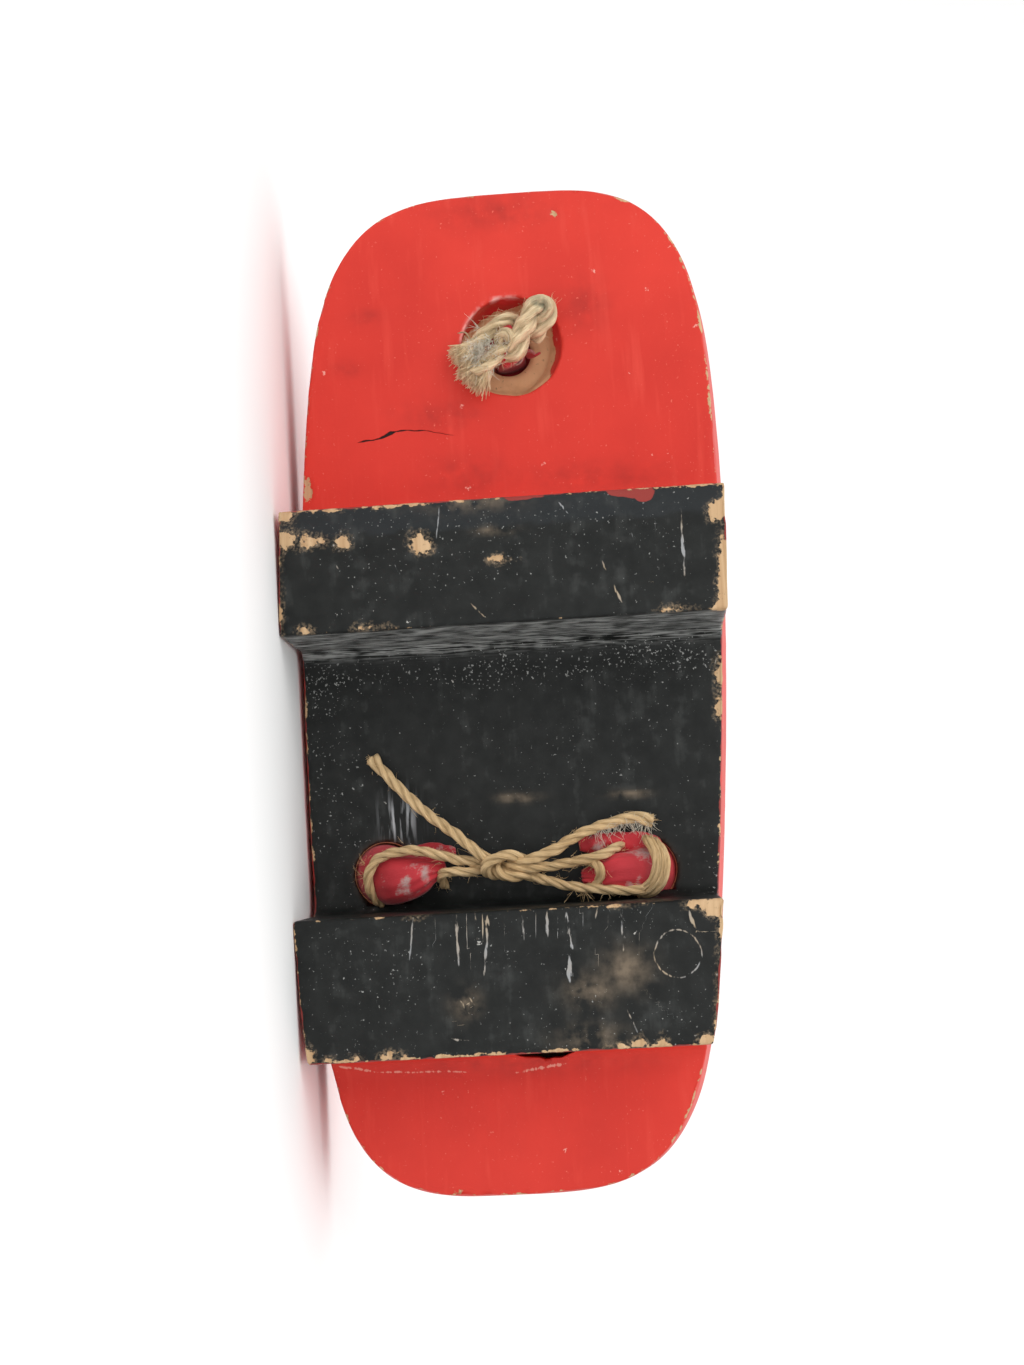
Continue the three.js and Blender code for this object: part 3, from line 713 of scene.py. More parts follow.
def bare_depth(points):
    """Signed distance inside bare wood: the chips, the holes, and the recess but for its painted upper wall."""
    x, y, z = points.T
    found = np.full(len(points), -9.0)
    ragged = 0.25 * value_noise(points, 1.8, 13)
    for across, along, height, half_x, half_y, half_z in CHIPS:
        reach = np.sqrt(((x - across) / half_x) ** 2 + ((y - along) / half_y) ** 2 + ((z - height) / half_z) ** 2)
        found = np.maximum(found, (1 - reach + ragged) * min(half_x, half_y))
    aside = x - recess_middle(z)
    from_toe = np.hypot(aside, y - TOE_HOLE_Y)
    in_recess = (from_toe < RECESS_MOUTH + 0.3) & (z > BOARD_FOOT + 0.05) & (z < TREAD - 1)
    towards = (aside * 0.5 + (y - TOE_HOLE_Y) * 0.87) / np.maximum(from_toe, 1e-3)
    right = ((y - TOE_HOLE_Y) * 0.3 - aside * 0.95) / np.maximum(from_toe, 1e-3)
    painted = np.maximum(6.2 * np.clip(towards - 0.1, 0, 1), 5.0 * np.clip(right - 0.2, 0, 1))
    painted = painted + 1.2 * value_noise(points, 3.0, 6) - 0.6
    recess = np.where(from_toe > RECESS_FLOOR - 0.6, z - BOARD_FOOT - painted, 4.0)
    found = np.where(in_recess, recess, found)
    lean = (REAR_HOLE_TREAD - REAR_HOLE_UNDER) / (TREAD - BOARD_FOOT)
    bore_x = REAR_HOLE_UNDER + lean * (z - BOARD_FOOT)
    in_bore = np.hypot(np.abs(x) - bore_x, y - REAR_HOLE_Y) < REAR_HOLE_RADIUS + 0.1
    return np.where(in_bore & (z > BOARD_FOOT + 0.5), 4.0, found)


def on_face(z, height):
    """Whether points lie on the ground faces, or on the underside of the board."""
    return z < 1.6 if height == GROUND else np.abs(z - BOARD_FOOT - 0.8) < 2.4


def nearest_line(points, lines):
    """For each point, the nearest of some lines on a face: its signed distance across, how far it lies inside
    the line's ends, and the line's half width."""
    side, inside, half = np.zeros(len(points)), np.full(len(points), -9.0), np.zeros(len(points))
    nearest = np.full(len(points), 99.0)
    for x0, y0, x1, y1, height, width in lines:
        length = np.hypot(x1 - x0, y1 - y0)
        way_x, way_y = (x1 - x0) / length, (y1 - y0) / length
        along = (points[:, 0] - x0) * way_x + (points[:, 1] - y0) * way_y
        across = (points[:, 1] - y0) * way_x - (points[:, 0] - x0) * way_y
        within = np.minimum(along, length - along)
        away = np.hypot(across, np.maximum(-within, 0))
        closer = on_face(points[:, 2], height) & (away < nearest)
        nearest = np.where(closer, away, nearest)
        side = np.where(closer, across, side)
        inside = np.where(closer, within, inside)
        half = np.where(closer, width, half)
    return nearest, side, inside, half


def soft_spots(points, spots):
    """The strongest of some soft spots at each point: exp(-(dx / a)^2 - (dy / b)^2)."""
    found = np.zeros(len(points))
    for across, along, half_x, half_y, height in spots:
        reach = ((points[:, 0] - across) / half_x) ** 2 + ((points[:, 1] - along) / half_y) ** 2
        found = np.maximum(found, np.where(on_face(points[:, 2], height), np.exp(-reach), 0))
    return found


def hole_lighting_and_stain_share(points):
    """Where the holes' painted shade, painted light and stains go: 1 inside the recess and the bores, falling off round
    the bores.
    """
    x, y, z = points.T
    from_toe = np.hypot(x - recess_middle(z), y - TOE_HOLE_Y)
    in_recess = (from_toe < RECESS_MOUTH + 0.2) & (z > BOARD_FOOT + 0.1) & (z < TREAD - 1)
    lean = (REAR_HOLE_TREAD - REAR_HOLE_UNDER) / (TREAD - BOARD_FOOT)
    bore_x = REAR_HOLE_UNDER + lean * (z - BOARD_FOOT)
    beyond = np.maximum(np.hypot(np.abs(x) - bore_x, y - REAR_HOLE_Y) - REAR_HOLE_RADIUS, 0)
    return np.maximum(in_recess, np.exp(-((beyond / 0.9) ** 2)) * (z > BOARD_FOOT - 0.5))


def write_paint_fields(mesh):
    """The attributes that the paint reads, from where each vertex lies."""
    points = mesh_points(mesh)
    _, y, z = square(points)
    set_attribute(mesh, "edge_mm", arris_distance(points) - rub(points))
    set_attribute(mesh, "black_mm", black_depth(points))
    set_attribute(mesh, "bare_mm", bare_depth(points))
    nearest, side, inside, half = nearest_line(points, MARKS)
    ring = np.hypot(points[:, 0] - RING_MARK[0], points[:, 1] - RING_MARK[1]) - RING_MARK[2]
    on_ring = (np.abs(ring) < nearest) & on_face(z, GROUND)
    set_attribute(mesh, "mark_side", np.where(on_ring, ring, side))
    set_attribute(mesh, "mark_inside", np.where(on_ring, 3.0, inside))
    set_attribute(mesh, "mark_half", np.where(on_ring, RING_MARK[3], half))
    crack = [(*a, *b, BOARD, w) for a, b, w in zip(CRACK, CRACK[1:], CRACK_HALF)]
    _, side, inside, half = nearest_line(points, crack)
    set_attribute(mesh, "crack_side", side)
    set_attribute(mesh, "crack_inside", inside + 0.4)
    set_attribute(mesh, "crack_half", half)
    set_attribute(mesh, "smudge", soft_spots(points, SMUDGES))
    set_attribute(mesh, "shade", soft_spots(points, SHADES))
    heel_face = FRONT_TOOTH[0] - TOOTH_TAPER * z / BOARD_FOOT
    dusty = np.exp(-(((y - heel_face) / 1.6) ** 2)) * np.clip((z - 0.6) / 1.5, 0, 1) * np.clip((30 - z) / 3, 0, 1)
    dusty = dusty * (0.72 + 0.28 * np.clip((points[:, 0] + 40) / 30, 0, 1))
    set_attribute(mesh, "dust", dusty)
    salty = np.exp(-(((y - FRONT_TOOTH[0] + 6.5) / 5.0) ** 2)) * (z > 2) * (z < BOARD_FOOT + 0.7)
    set_attribute(mesh, "salt", salty)
    worn_round = np.clip((y - FRONT_TOOTH[1] + 6.6 + 0.5 * value_noise(points, 3.0, 9)) / 0.5, 0, 1)
    set_attribute(mesh, "bevel", np.where((z < 1.6) & (y > 0), worn_round, 0))
    # Painted highlight: where the pale gloss reflections lie on the black board
    set_attribute(mesh, "streak", soft_spots(points, GLOSS_HIGHLIGHTS))
    # Painted shade and light in the holes, and their stains
    set_attribute(mesh, "hole_lighting_and_stain", hole_lighting_and_stain_share(points))
    # Painted shadow: the notch behind the rear tooth and the deep part of the toe bore, painted near black
    across_notch = np.abs(points[:, 0] - NOTCH_X) < NOTCH_HALF + 0.1
    in_notch = across_notch & (np.abs(y - REAR_TOOTH[0] + 2) < 2.4) & (z > BOARD_FOOT + 0.3) & (z < NOTCH_FLOOR + 0.2)
    from_toe = np.hypot(points[:, 0], points[:, 1] - TOE_HOLE_Y)
    in_bore = (from_toe < TOE_HOLE_RADIUS + 0.2) & (z > BOARD_FOOT + RECESS_DEPTH + 1.2) & (z < TREAD - 2)
    set_attribute(mesh, "pit_shadow", (in_notch | in_bore).astype(float))
    aside = points[:, 0] - recess_middle(z)
    up_left = (aside * 0.6 + (points[:, 1] - TOE_HOLE_Y) * 0.8) / RECESS_MOUTH
    from_rim = np.hypot(aside, points[:, 1] - TOE_HOLE_Y) - RECESS_MOUTH
    glint = np.exp(-((from_rim / 0.35) ** 2)) * np.clip((up_left - 0.3) * 3, 0, 1) * (np.abs(z - BOARD_FOOT - 0.4) < 1)
    set_attribute(mesh, "glint", glint)


def make_block():
    """The block with a hand-carved unevenness, its holes, and the attributes its paint reads.

    The arrises are worn back by noise, the toe side of the front tooth is worn round, and chips are sunk.
    """
    points, faces = block_grid()
    x, y, z = square(points)
    uneven = 0.16 * value_noise(points, 21.0, 3) + 0.05 * value_noise(points, 6.0, 4)
    inset, out = plan_inset(x, y)
    on_wall = np.clip(1 - (inset + flare(z)) / 1.0, 0, 1)
    points[:, :2] -= out * (np.abs(uneven) * on_wall)[:, None]
    worn = np.clip(1 - arris_distance(points) / 1.6, 0, 1) * np.clip(0.1 + value_noise(points, 3.2, 5), 0, 1)
    points[:, :2] -= out * (0.55 * worn * on_wall)[:, None]
    under = (z < TREAD - TREAD_EDGE) & (on_wall < 0.6)
    sunk = np.where(z < 2, 0.45 * worn, 0.3 * worn) + np.abs(uneven) * 0.6
    sunk = sunk + np.where((z < 1.2) & (y > 0), rocked(y), 0)
    shallow = z < BOARD_FOOT + 2
    sunk = sunk + np.where(shallow, np.clip(bare_depth(points) + 0.4, 0, 0.5) * 0.7, 0)
    points[:, 2] += np.where(under, sunk, 0)
    block = carve(points, faces, [toe_cutter(), rear_cutter(1), rear_cutter(-1), notch_cutter()])
    write_paint_fields(block.data)
    block.data.shade_smooth()
    return block


# Half the strap, from its apex to where it fills the hole: x, y, z, width and thickness, close to the CAD part
STRAP_ROWS = [
    (0, 76.4, 57.5, 6.4, 6.8),
    (6, 74, 59.6, 8, 7.4),
    (14.5, 62.4, 65.5, 11.5, 8.4),
    (26, 40.4, 72.5, 15, 9.4),
    (35.3, 13.2, 74, 16.5, 10),
    (40.3, -13.2, 69, 16, 10.2),
    (41.63, -30.5, 61.5, 14.4, 10.6),
    (35.5, -40.6, 53, 13.2, 11.2),
    (31.9, -42.1, 45, 13.7, 13.5),
]
# The two tied tails, from the hole to the tip
LEFT_TAIL = [
    (29, -42.2, 31, 13.7, 13.3),
    (26.4, -43.2, 23.7, 11.6, 9.2),
    (22.0, -42.6, 22.4, 9.8, 8.6),
    (18.4, -41.3, 22.6, 6.6, 6.4),
    (15.2, -40.5, 23.4, 3.6, 3.8),
]
RIGHT_TAIL = [
    (-29, -42.2, 31, 13.7, 13.3),
    (-26.0, -42.6, 23.7, 10.0, 9.2),
    (-21.4, -42.7, 22.6, 8.4, 8.2),
    (-17.8, -43.2, 22.9, 5.6, 5.6),
    (-15.2, -43.4, 23.6, 3.4, 3.6),
]
# Scuffs on the tails: across, along
SCUFFS = [(23.7, -44.6), (19.8, -41.8), (-34.8, -38.4), (-28.4, -38.8), (-27.0, -46.0), (-18.7, -37.2)]
# The cloth's turned-in edges behind the tails
TAIL_FOLDS = [
    [(23.5, -38.4, 29.5), (21.0, -37.2, 27.4), (18.5, -36.7, 26.8), (15.8, -36.8, 26.6), (13.2, -37.6, 26.8)],
    [(-32.0, -37.4, 30.5), (-29.0, -36.4, 26.8), (-23.0, -36.0, 25.8), (-18.5, -36.2, 25.6), (-14.4, -36.4, 26.0)],
]


def scuffed(points):
    """How scuffed the cloth is: the largest of exp(-(distance / 2.6)^2) over the scuffs."""
    x, y, z = np.moveaxis(points, -1, 0)
    found = np.zeros(points.shape[:-1])
    for across, along in SCUFFS:
        found = np.maximum(found, np.exp(-((x - across) ** 2 + (y - along) ** 2) / 2.6**2))
    return found * (z < BOARD_FOOT)


def make_strap():
    """The padded strap: a tube through the rows of its table and their mirror image.

    Its section is half width times cos, half thickness times sin, each to the power 0.9. Creases cross it
    where it bends, and pleats run into the tied tips.
    """
    rows = np.array(STRAP_ROWS, float)
    mirrored = (rows * [-1, 1, 1, 1, 1])[:0:-1]
    rows = np.vstack([np.array(RIGHT_TAIL)[::-1], mirrored, rows, np.array(LEFT_TAIL)])
    line = smooth_path(rows, 0.8)
    centre, wide, thick = line[:, :3], line[:, 3], line[:, 4]
    along = np.gradient(centre, axis=0)
    along /= np.linalg.norm(along, axis=1, keepdims=True)
    away = np.stack([centre[:, 0], np.zeros(len(line)), centre[:, 2] - TREAD], axis=1)
    away /= np.linalg.norm(away, axis=1, keepdims=True)
    up = away - along * np.sum(away * along, axis=1, keepdims=True)
    up /= np.linalg.norm(up, axis=1, keepdims=True)
    across = np.cross(up, along)
    turn = np.linspace(0, 2 * np.pi, 56, endpoint=False)
    shape_x = np.sign(np.cos(turn)) * np.abs(np.cos(turn)) ** 0.9
    shape_y = np.sign(np.sin(turn)) * np.abs(np.sin(turn)) ** 0.9
    ring = (
        centre[:, None, :]
        + across[:, None, :] * (wide[:, None] / 2 * shape_x)[..., None]
        + up[:, None, :] * (thick[:, None] / 2 * shape_y)[..., None]
    )
    inward = centre[:, None, :] - ring
    inward /= np.linalg.norm(inward, axis=2, keepdims=True)
    run = run_along(centre)
    from_tip = np.minimum(run, run[-1] - run)[:, None]
    pleat = np.sin(11 * turn[None, :] + 0.25 * from_tip) * 0.5 + 0.5
    pleats = 0.75 * pleat * np.exp(-from_tip / 6.0)
    crease = 0.35 * np.clip(value_noise(ring, 4.2, 11), 0, 1)
    soft = 0.45 * np.clip(value_noise(ring, 11.0, 12), 0, 1)
    tails = np.exp(-((from_tip / 24.0) ** 2))
    ring = ring + inward * (pleats + crease * (0.3 + tails) + soft)[..., None]
    points, faces = closed_tube(ring)
    mesh = bare_mesh("strap_cloth", points, faces)
    flat = np.stack(
        np.broadcast_arrays(run[:, None], 6.5 * np.cos(turn)[None, :], 6.5 * np.sin(turn)[None, :]), axis=-1
    )
    ends = np.array([[run[0], 0, 0], [run[-1], 0, 0]])
    set_attribute(mesh, "cloth", np.vstack([flat.reshape(-1, 3), ends]))
    set_attribute(mesh, "scuff", scuffed(points))
    return show(mesh)


def make_tail_folds():
    """The turned-in cloth behind the two tails: flat tubes with crumpled surfaces."""
    turn = np.linspace(0, 2 * np.pi, 28, endpoint=False)
    parts = []
    for places in TAIL_FOLDS:
        path = smooth_path(places, 0.5)
        run = run_along(path)
        along = np.gradient(path, axis=0)
        along /= np.linalg.norm(along, axis=1, keepdims=True)
        across = np.cross(along, [0, 0.25, 1.0])
        across /= np.linalg.norm(across, axis=1, keepdims=True)
        up = np.cross(across, along)
        size = np.clip((run[-1] - run) / 3.0, 0, 1)[:, None] * 0.45 + 0.55
        half = 1.5 if path[0, 0] > 0 else 2.3
        ring = path[:, None, :] + across[:, None, :] * (half * size * np.cos(turn))[..., None]
        ring = ring + up[:, None, :] * (1.2 * size * np.sin(turn))[..., None]
        ring = ring + 0.5 * np.stack([value_noise(ring, 1.9, seed) for seed in (14, 15, 16)], axis=-1)
        points, faces = closed_tube(ring)
        parts.append((points, faces, points))
    points, faces, flat = join(parts)
    mesh = bare_mesh("tail_folds", points, faces)
    set_attribute(mesh, "cloth", flat)
    set_attribute(mesh, "scuff", np.maximum(scuffed(points), 0.5 * (points[:, 0] > 0)))
    return show(mesh)


def make_post():
    """The toe post: one closed band of cloth, round the strap's apex above and round the toggle below.

    Its line is two half circles joined by two legs, and it turns about the hole's line on its way down.
    """
    t = np.linspace(0, np.pi, 25)
    top = np.stack([4.7 * np.cos(t), 57.5 + 4.9 * np.sin(t)], axis=1)
    bottom = np.stack([-3.9 * np.cos(t), 27.6 - 3.9 * np.sin(t)], axis=1)
    left = np.array([[-2.6, 49.0], [-2.2, 44.0], [-2.1, 38.0], [-2.3, 33.0]])
    line = smooth_path(np.vstack([top[2:-2], left, bottom[3:-3], left[::-1] * [-1, 1], top[2:3]]), 0.7)[:-1]
    twist = np.radians(-35) * np.clip((46 - line[:, 1]) / 14, 0, 1)
    ahead = np.roll(line, -1, axis=0) - np.roll(line, 1, axis=0)
    ahead /= np.linalg.norm(ahead, axis=1, keepdims=True)
    wide = 3.9 - 0.5 * np.clip((50 - line[:, 1]) / 10, 0, 1)
    thick = np.full(len(line), 1.1)
    turn = np.linspace(0, 2 * np.pi, 28, endpoint=False)
    half_x = wide[:, None] * np.sign(np.cos(turn)) * np.abs(np.cos(turn)) ** 0.7
    half_n = thick[:, None] * np.sin(turn)
    flat_y = line[:, :1] + ahead[:, 1:2] * half_n
    height = line[:, 1:2] - ahead[:, :1] * half_n
    cos, sin = np.cos(twist)[:, None], np.sin(twist)[:, None]
    ring = np.stack([half_x * cos - flat_y * sin, TOE_HOLE_Y + half_x * sin + flat_y * cos, height], axis=-1)
    ring[..., 1] += 0.1
    ring += 0.35 * np.stack([value_noise(ring, 2.6, seed) for seed in (21, 22, 23)], axis=-1)
    count, sides, _ = ring.shape
    row = np.arange(count)[:, None]
    column = np.arange(sides)[None, :]
    row_after, column_after = (row + 1) % count, (column + 1) % sides
    corners = [row * sides + column, row_after * sides + column, row_after * sides + column_after]
    faces = np.stack([*corners, row * sides + column_after], axis=-1).reshape(-1, 4)
    mesh = bare_mesh("post_cloth", ring.reshape(-1, 3), faces)
    set_attribute(mesh, "cloth", ring.reshape(-1, 3))
    set_attribute(mesh, "scuff", np.zeros(count * sides))
    return show(mesh)


def make_wad():
    """The post's cloth bunched up in the toe hole: a blunt plug with a crumpled lower face."""
    turn = np.linspace(0, 2 * np.pi, 48, endpoint=False)
    profile = [(0.6, 42.0), (1.6, 41.8), (2.7, 41.9), (3.6, 42.2), (4.4, 42.7), (4.9, 43.4), (4.9, 44.4), (4.4, 45.2)]
    radius, height = smooth_path(profile, 0.35).T
    ring = np.stack(
        [
            radius[:, None] * np.cos(turn),
            TOE_HOLE_Y + radius[:, None] * np.sin(turn),
            np.broadcast_to(height[:, None], (len(radius), len(turn))),
        ],
        axis=-1,
    )
    loose = np.clip((44 - height) / 3, 0, 1)[:, None, None]
    ring = ring + loose * 0.8 * np.stack([value_noise(ring, 1.5, seed) for seed in (24, 25, 26)], axis=-1)
    points, faces = closed_tube(ring)
    mesh = bare_mesh("post_wad", points, faces)
    set_attribute(mesh, "cloth", points)
    set_attribute(mesh, "scuff", np.zeros(len(points)))
    return show(mesh)


# The edge of the post's cloth that curls in the mouth of the toe hole
POST_EDGE = [
    (1.2, 73.6, 32.4),
    (-0.4, 72.9, 31.8),
    (-2.0, 72.8, 31.2),
    (-3.2, 73.4, 30.8),
    (-3.9, 74.8, 30.6),
    (-4.6, 75.9, 30.6),
    (-5.8, 75.8, 31.0),
    (-6.6, 75.0, 31.4),
    (-7.6, 75.6, 32.0),
]


def make_post_edge():
    """A curled strip of cloth seen on edge: a flat section, five millimetres tall, along a winding line."""
    path = smooth_path(POST_EDGE, 0.25)
    along = np.gradient(path, axis=0)
    aside = np.stack([-along[:, 1], along[:, 0], np.zeros(len(path))], axis=1)
    aside /= np.linalg.norm(aside, axis=1, keepdims=True)
    turn = np.linspace(0, 2 * np.pi, 20, endpoint=False)
    tall = 2.5 * np.sign(np.sin(turn)) * np.abs(np.sin(turn)) ** 0.6 + 2.5
    ring = path[:, None, :] + aside[:, None, :] * (0.42 * np.cos(turn))[None, :, None]
    ring[..., 2] += tall[None, :]
    squeeze = 1 - 0.4 * (tall / 5)[None, :]
    ring[..., :2] = [-1.2, TOE_HOLE_Y - 0.6] + (ring[..., :2] - [-1.2, TOE_HOLE_Y - 0.6]) * squeeze[..., None]
    points, faces = closed_tube(ring)
    mesh = bare_mesh("post_edge", points, faces)
    set_attribute(mesh, "cloth", points)
    set_attribute(mesh, "scuff", np.clip((32.2 - points[:, 2]) / 0.8, 0, 1))
    return show(mesh)


def laid_rope(path, radius, plies, pitch, seed, spread=None, sides=10, rough=0.12):
    """A twisted rope as (points, faces, rows of fibre and painted shade): plies wound round the path, once every pitch.

    Each ply is a tube whose middle goes round the path; spread widens the rope where it is frayed. The painted shade
    in the grooves is 1 where a ply lies deep between the others: (0.96 - distance from the path / its outer radius) /
    0.3.
    """
    run = run_along(path)
    _, first, second = carried_frames(path)
    spread = np.ones(len(path)) if spread is None else spread
    offset = radius * 0.45
    ply_radius = radius * 0.62
    turn = np.linspace(0, 2 * np.pi, sides, endpoint=False)
    parts = []
    for k in range(plies):
        wind = 2 * np.pi * (run / pitch + k / plies)
        middle = path + (offset * spread)[:, None] * (
            np.cos(wind)[:, None] * first + np.sin(wind)[:, None] * second
        )
        relief = np.stack(
            np.broadcast_arrays(run[:, None] / 5, 3 * np.cos(turn)[None, :], 3 * np.sin(turn)[None, :] + 7 * k),
            axis=-1,
        )
        strands = value_noise(relief * [1, 2.2, 2.2], 1.0, seed + 1)
        size = ply_radius * (1 + rough * value_noise(relief, 1.0, seed) + 0.5 * rough * strands)
        size = size * (1 + 0.06 * np.sin(run * 1.7 + k + seed))[:, None] * spread[:, None] ** 0.5
        ring = (
            middle[:, None, :]
            + first[:, None, :] * (size * np.cos(turn))[..., None]
            + second[:, None, :] * (size * np.sin(turn))[..., None]
        )
        points, faces = closed_tube(ring)
        fibre = np.stack(
            np.broadcast_arrays(
                run[:, None] + 40 * k + 13 * seed, np.cos(turn - 0.6 * wind[:, None]), np.sin(turn - 0.6 * wind[:, None])
            ),
            axis=-1,
        )
        # Painted shade: how deep each point lies in the grooves between the plies
        reach = np.linalg.norm(ring - path[:, None, :], axis=2) / (1.07 * radius * spread)[:, None]
        groove_shade = np.clip((0.96 - reach) / 0.3, 0, 1)
        hubs = np.array([[run[0] + 40 * k, 0, 0, 0], [run[-1] + 40 * k, 0, 0, 0]])
        parts.append((points, faces, np.vstack([np.column_stack([fibre.reshape(-1, 3), groove_shade.ravel()]), hubs])))
    return join(parts)


def stray_fibres(places, ways, spread, lengths, thickness, count, seed, curling=0.45):
    """Thin loose fibres as (points, faces, rows of fibre and painted shade), some at each place, curling away in its
    way.

    A fibre's line is place + way t + curl t^2, with a random curl; it thins towards its tip.
    """
    dice = np.random.default_rng(seed)
    pick = dice.integers(0, len(places), count)
    start = np.array(places, float)[pick] + dice.normal(0, 0.25, (count, 3))
    way = np.array(ways, float)[pick] + dice.normal(0, spread, (count, 3))
    way /= np.linalg.norm(way, axis=1, keepdims=True)
    length = dice.uniform(*lengths, count)[:, None, None]
    curl = dice.normal(0, curling, (count, 1, 3))
    t = np.linspace(0, 1, 7)[None, :, None]
    line = start[:, None, :] + length * (way[:, None, :] * t + curl * t**2)
    side = np.cross(way, dice.normal(0, 1, (count, 3)))
    side /= np.linalg.norm(side, axis=1, keepdims=True)
    other = np.cross(way, side)
    turn = np.arange(3) * 2 * np.pi / 3
    thin = thickness / 2 * (1 - 0.6 * t)[..., None]
    ring = line[:, :, None, :] + thin * (
        side[:, None, None, :] * np.cos(turn)[:, None] + other[:, None, None, :] * np.sin(turn)[:, None]
    )
    tube = np.concatenate([grid_faces(7, 3, closed=True)])
    faces = [quad for k in range(count) for quad in (tube + 21 * k).tolist()]
    faces += [[21 * k + 2, 21 * k + 1, 21 * k] for k in range(count)]
    faces += [[21 * k + 18, 21 * k + 19, 21 * k + 20] for k in range(count)]
    points = ring.reshape(-1, 3)
    return points, faces, np.column_stack([points[:, 0] * 3, np.zeros((len(points), 3))])


def rope_piece(name, parts):
    """Several laid ropes or fibres as one shown piece that carries its fibre directions."""
    points, faces, rows = join(parts)
    mesh = bare_mesh(name, points, faces)
    set_attribute(mesh, "fibre", rows[:, :3])
    # The painted shade in the grooves between the plies
    set_attribute(mesh, "groove_shade", rows[:, 3])
    away = np.linalg.norm((points - TOGGLE_DIRT) / [2.6, 2.6, 4.0], axis=1)
    set_attribute(mesh, "dirt", np.exp(-(away**2)))
    return show(mesh)


def flared_tip(path, reach, amount):
    """Spread along a path: 1, and rising as the square of the share of the last reach to 1 + amount."""
    run = run_along(path)
    into = np.clip((run - run[-1] + reach) / reach, 0, 1)
    return 1 + amount * into**2


TOGGLE_DIRT = (-8.2, 83.6, 20.5)  # middle of the grey-green dirt on the toggle's fold
TWINE = 1.2  # radius
PITCH = 13.0

# The tie, in shoe millimetres: its two free ends from the knot to the tip, and its strands
END_LEFT = [
    (3.0, -40.3, 20.2),
    (5.3, -39.3, 19.0),
    (8.1, -37.3, 18.6),
    (11.0, -34.9, 19.2),
    (14.0, -32.6, 20.4),
    (18.5, -29.3, 22.0),
    (23.1, -25.3, 23.8),
    (27.6, -20.7, 25.2),
    (31.5, -16.5, 25.8),
]
END_RIGHT = [
    (1.0, -40.6, 20.2),
    (-1.9, -40.2, 19.0),
    (-5.3, -39.1, 18.8),
    (-9.2, -37.6, 19.4),
    (-12.5, -35.5, 20.6),
    (-16.4, -33.5, 22.2),
    (-21.2, -31.9, 23.6),
    (-26.1, -30.7, 24.6),
    (-30.7, -31.5, 25.0),
]
STRANDS = [
    [
        (29.8, -48.6, 26.5),
        (31.1, -46.9, 23.5),
        (31.9, -44.1, 21.6),
        (31.3, -41.0, 20.6),
        (29.0, -38.5, 19.8),
        (25.0, -37.4, 18.6),
        (20.6, -37.2, 18.2),
        (15.9, -38.3, 18.8),
        (12.1, -39.3, 20.2),
        (8.4, -39.8, 21.2),
        (4.6, -40.2, 22.0),
    ],
    [
        (15.5, -44.9, 26.2),
        (16.0, -43.1, 22.2),
        (14.5, -41.9, 20.2),
        (10.8, -42.0, 20.6),
        (7.4, -41.6, 21.4),
        (3.6, -41.1, 22.2),
    ],
    [
        (2.6, -41.0, 21.6),
        (-0.6, -41.4, 19.4),
        (-4.2, -41.4, 19.4),
        (-8.0, -41.1, 20.2),
        (-12.0, -40.5, 20.0),
        (-16.4, -39.6, 19.0),
        (-19.6, -38.8, 19.2),
        (-22.0, -37.6, 21.6),
        (-23.4, -36.6, 25.2),
    ],
    [
        (-15.5, -39.6, 25.0),
        (-17.0, -40.1, 20.8),
        (-18.8, -41.6, 18.6),
        (-19.1, -43.6, 19.2),
        (-17.7, -45.4, 21.8),
        (-16.1, -46.2, 25.0),
    ],
    [
        (0.2, -42.0, 22.2),
        (-3.2, -43.0, 21.4),
        (-7.6, -44.2, 20.8),
        (-11.9, -45.4, 20.6),
        (-16.3, -46.0, 20.2),
        (-21.1, -46.4, 19.8),
        (-25.9, -46.6, 20.4),
        (-28.8, -46.3, 21.2),
    ],
]
BROAD_WRAP = [
    (-27.3, -47.4, 24.6),
    (-29.3, -46.7, 21.2),
    (-31.3, -44.8, 19.6),
    (-32.2, -41.9, 19.2),
    (-32.0, -39.0, 19.8),
    (-30.7, -36.5, 22.2),
    (-29.9, -35.4, 26.0),
]
# The knot's two loops: one rises at the left and runs over the top, one bulges out below
KNOT = [
    [
        (3.2, -42.6, 22.0),
        (5.2, -42.5, 20.0),
        (5.9, -41.3, 18.4),
        (5.0, -40.0, 17.7),
        (3.0, -39.0, 17.6),
        (0.8, -38.6, 17.9),
        (-1.0, -38.9, 18.9),
        (-2.6, -39.8, 21.2),
    ],
    [
        (4.2, -40.2, 22.0),
        (3.4, -41.4, 19.4),
        (2.4, -42.6, 18.6),
        (0.6, -43.2, 18.6),
        (-1.6, -43.0, 19.4),
        (-4.4, -42.6, 21.6),
    ],
]


def make_tie():
    """The twine under the board: strands, knot and two free ends."""
    left, right = smooth_path(END_LEFT, 0.5), smooth_path(END_RIGHT, 0.5)
    ends = [
        ("tie_left_twine", left, flared_tip(left, 5.0, 0.75), 31),
        ("tie_right_twine", right, flared_tip(right, 7.0, 0.45), 32),
    ]
    pieces = {}
    for name, path, spread, seed in ends:
        pieces[name] = (rope_piece(name, [laid_rope(path, TWINE, 3, PITCH, seed, spread)]), path)
    strands = [laid_rope(smooth_path(s, 0.5), 0.9 * TWINE, 3, PITCH, 40 + k) for k, s in enumerate(STRANDS)]
    wrap = smooth_path(BROAD_WRAP, 0.5)
    wraps = [wrap + [dx, 0.3 * dx, 0] for dx in (-1.1, 0.0, 1.1)]
    strands += [laid_rope(w, 0.85, 4, 44.0, 50 + k, sides=12, rough=0.4) for k, w in enumerate(wraps)]
    pieces["tie_strands_twine"] = (rope_piece("tie_strands_twine", strands), None)
    bights = [laid_rope(smooth_path(loop, 0.4), TWINE, 3, PITCH, 60 + k) for k, loop in enumerate(KNOT)]
    pieces["tie_knot_twine"] = (rope_piece("tie_knot_twine", bights), None)
    return pieces


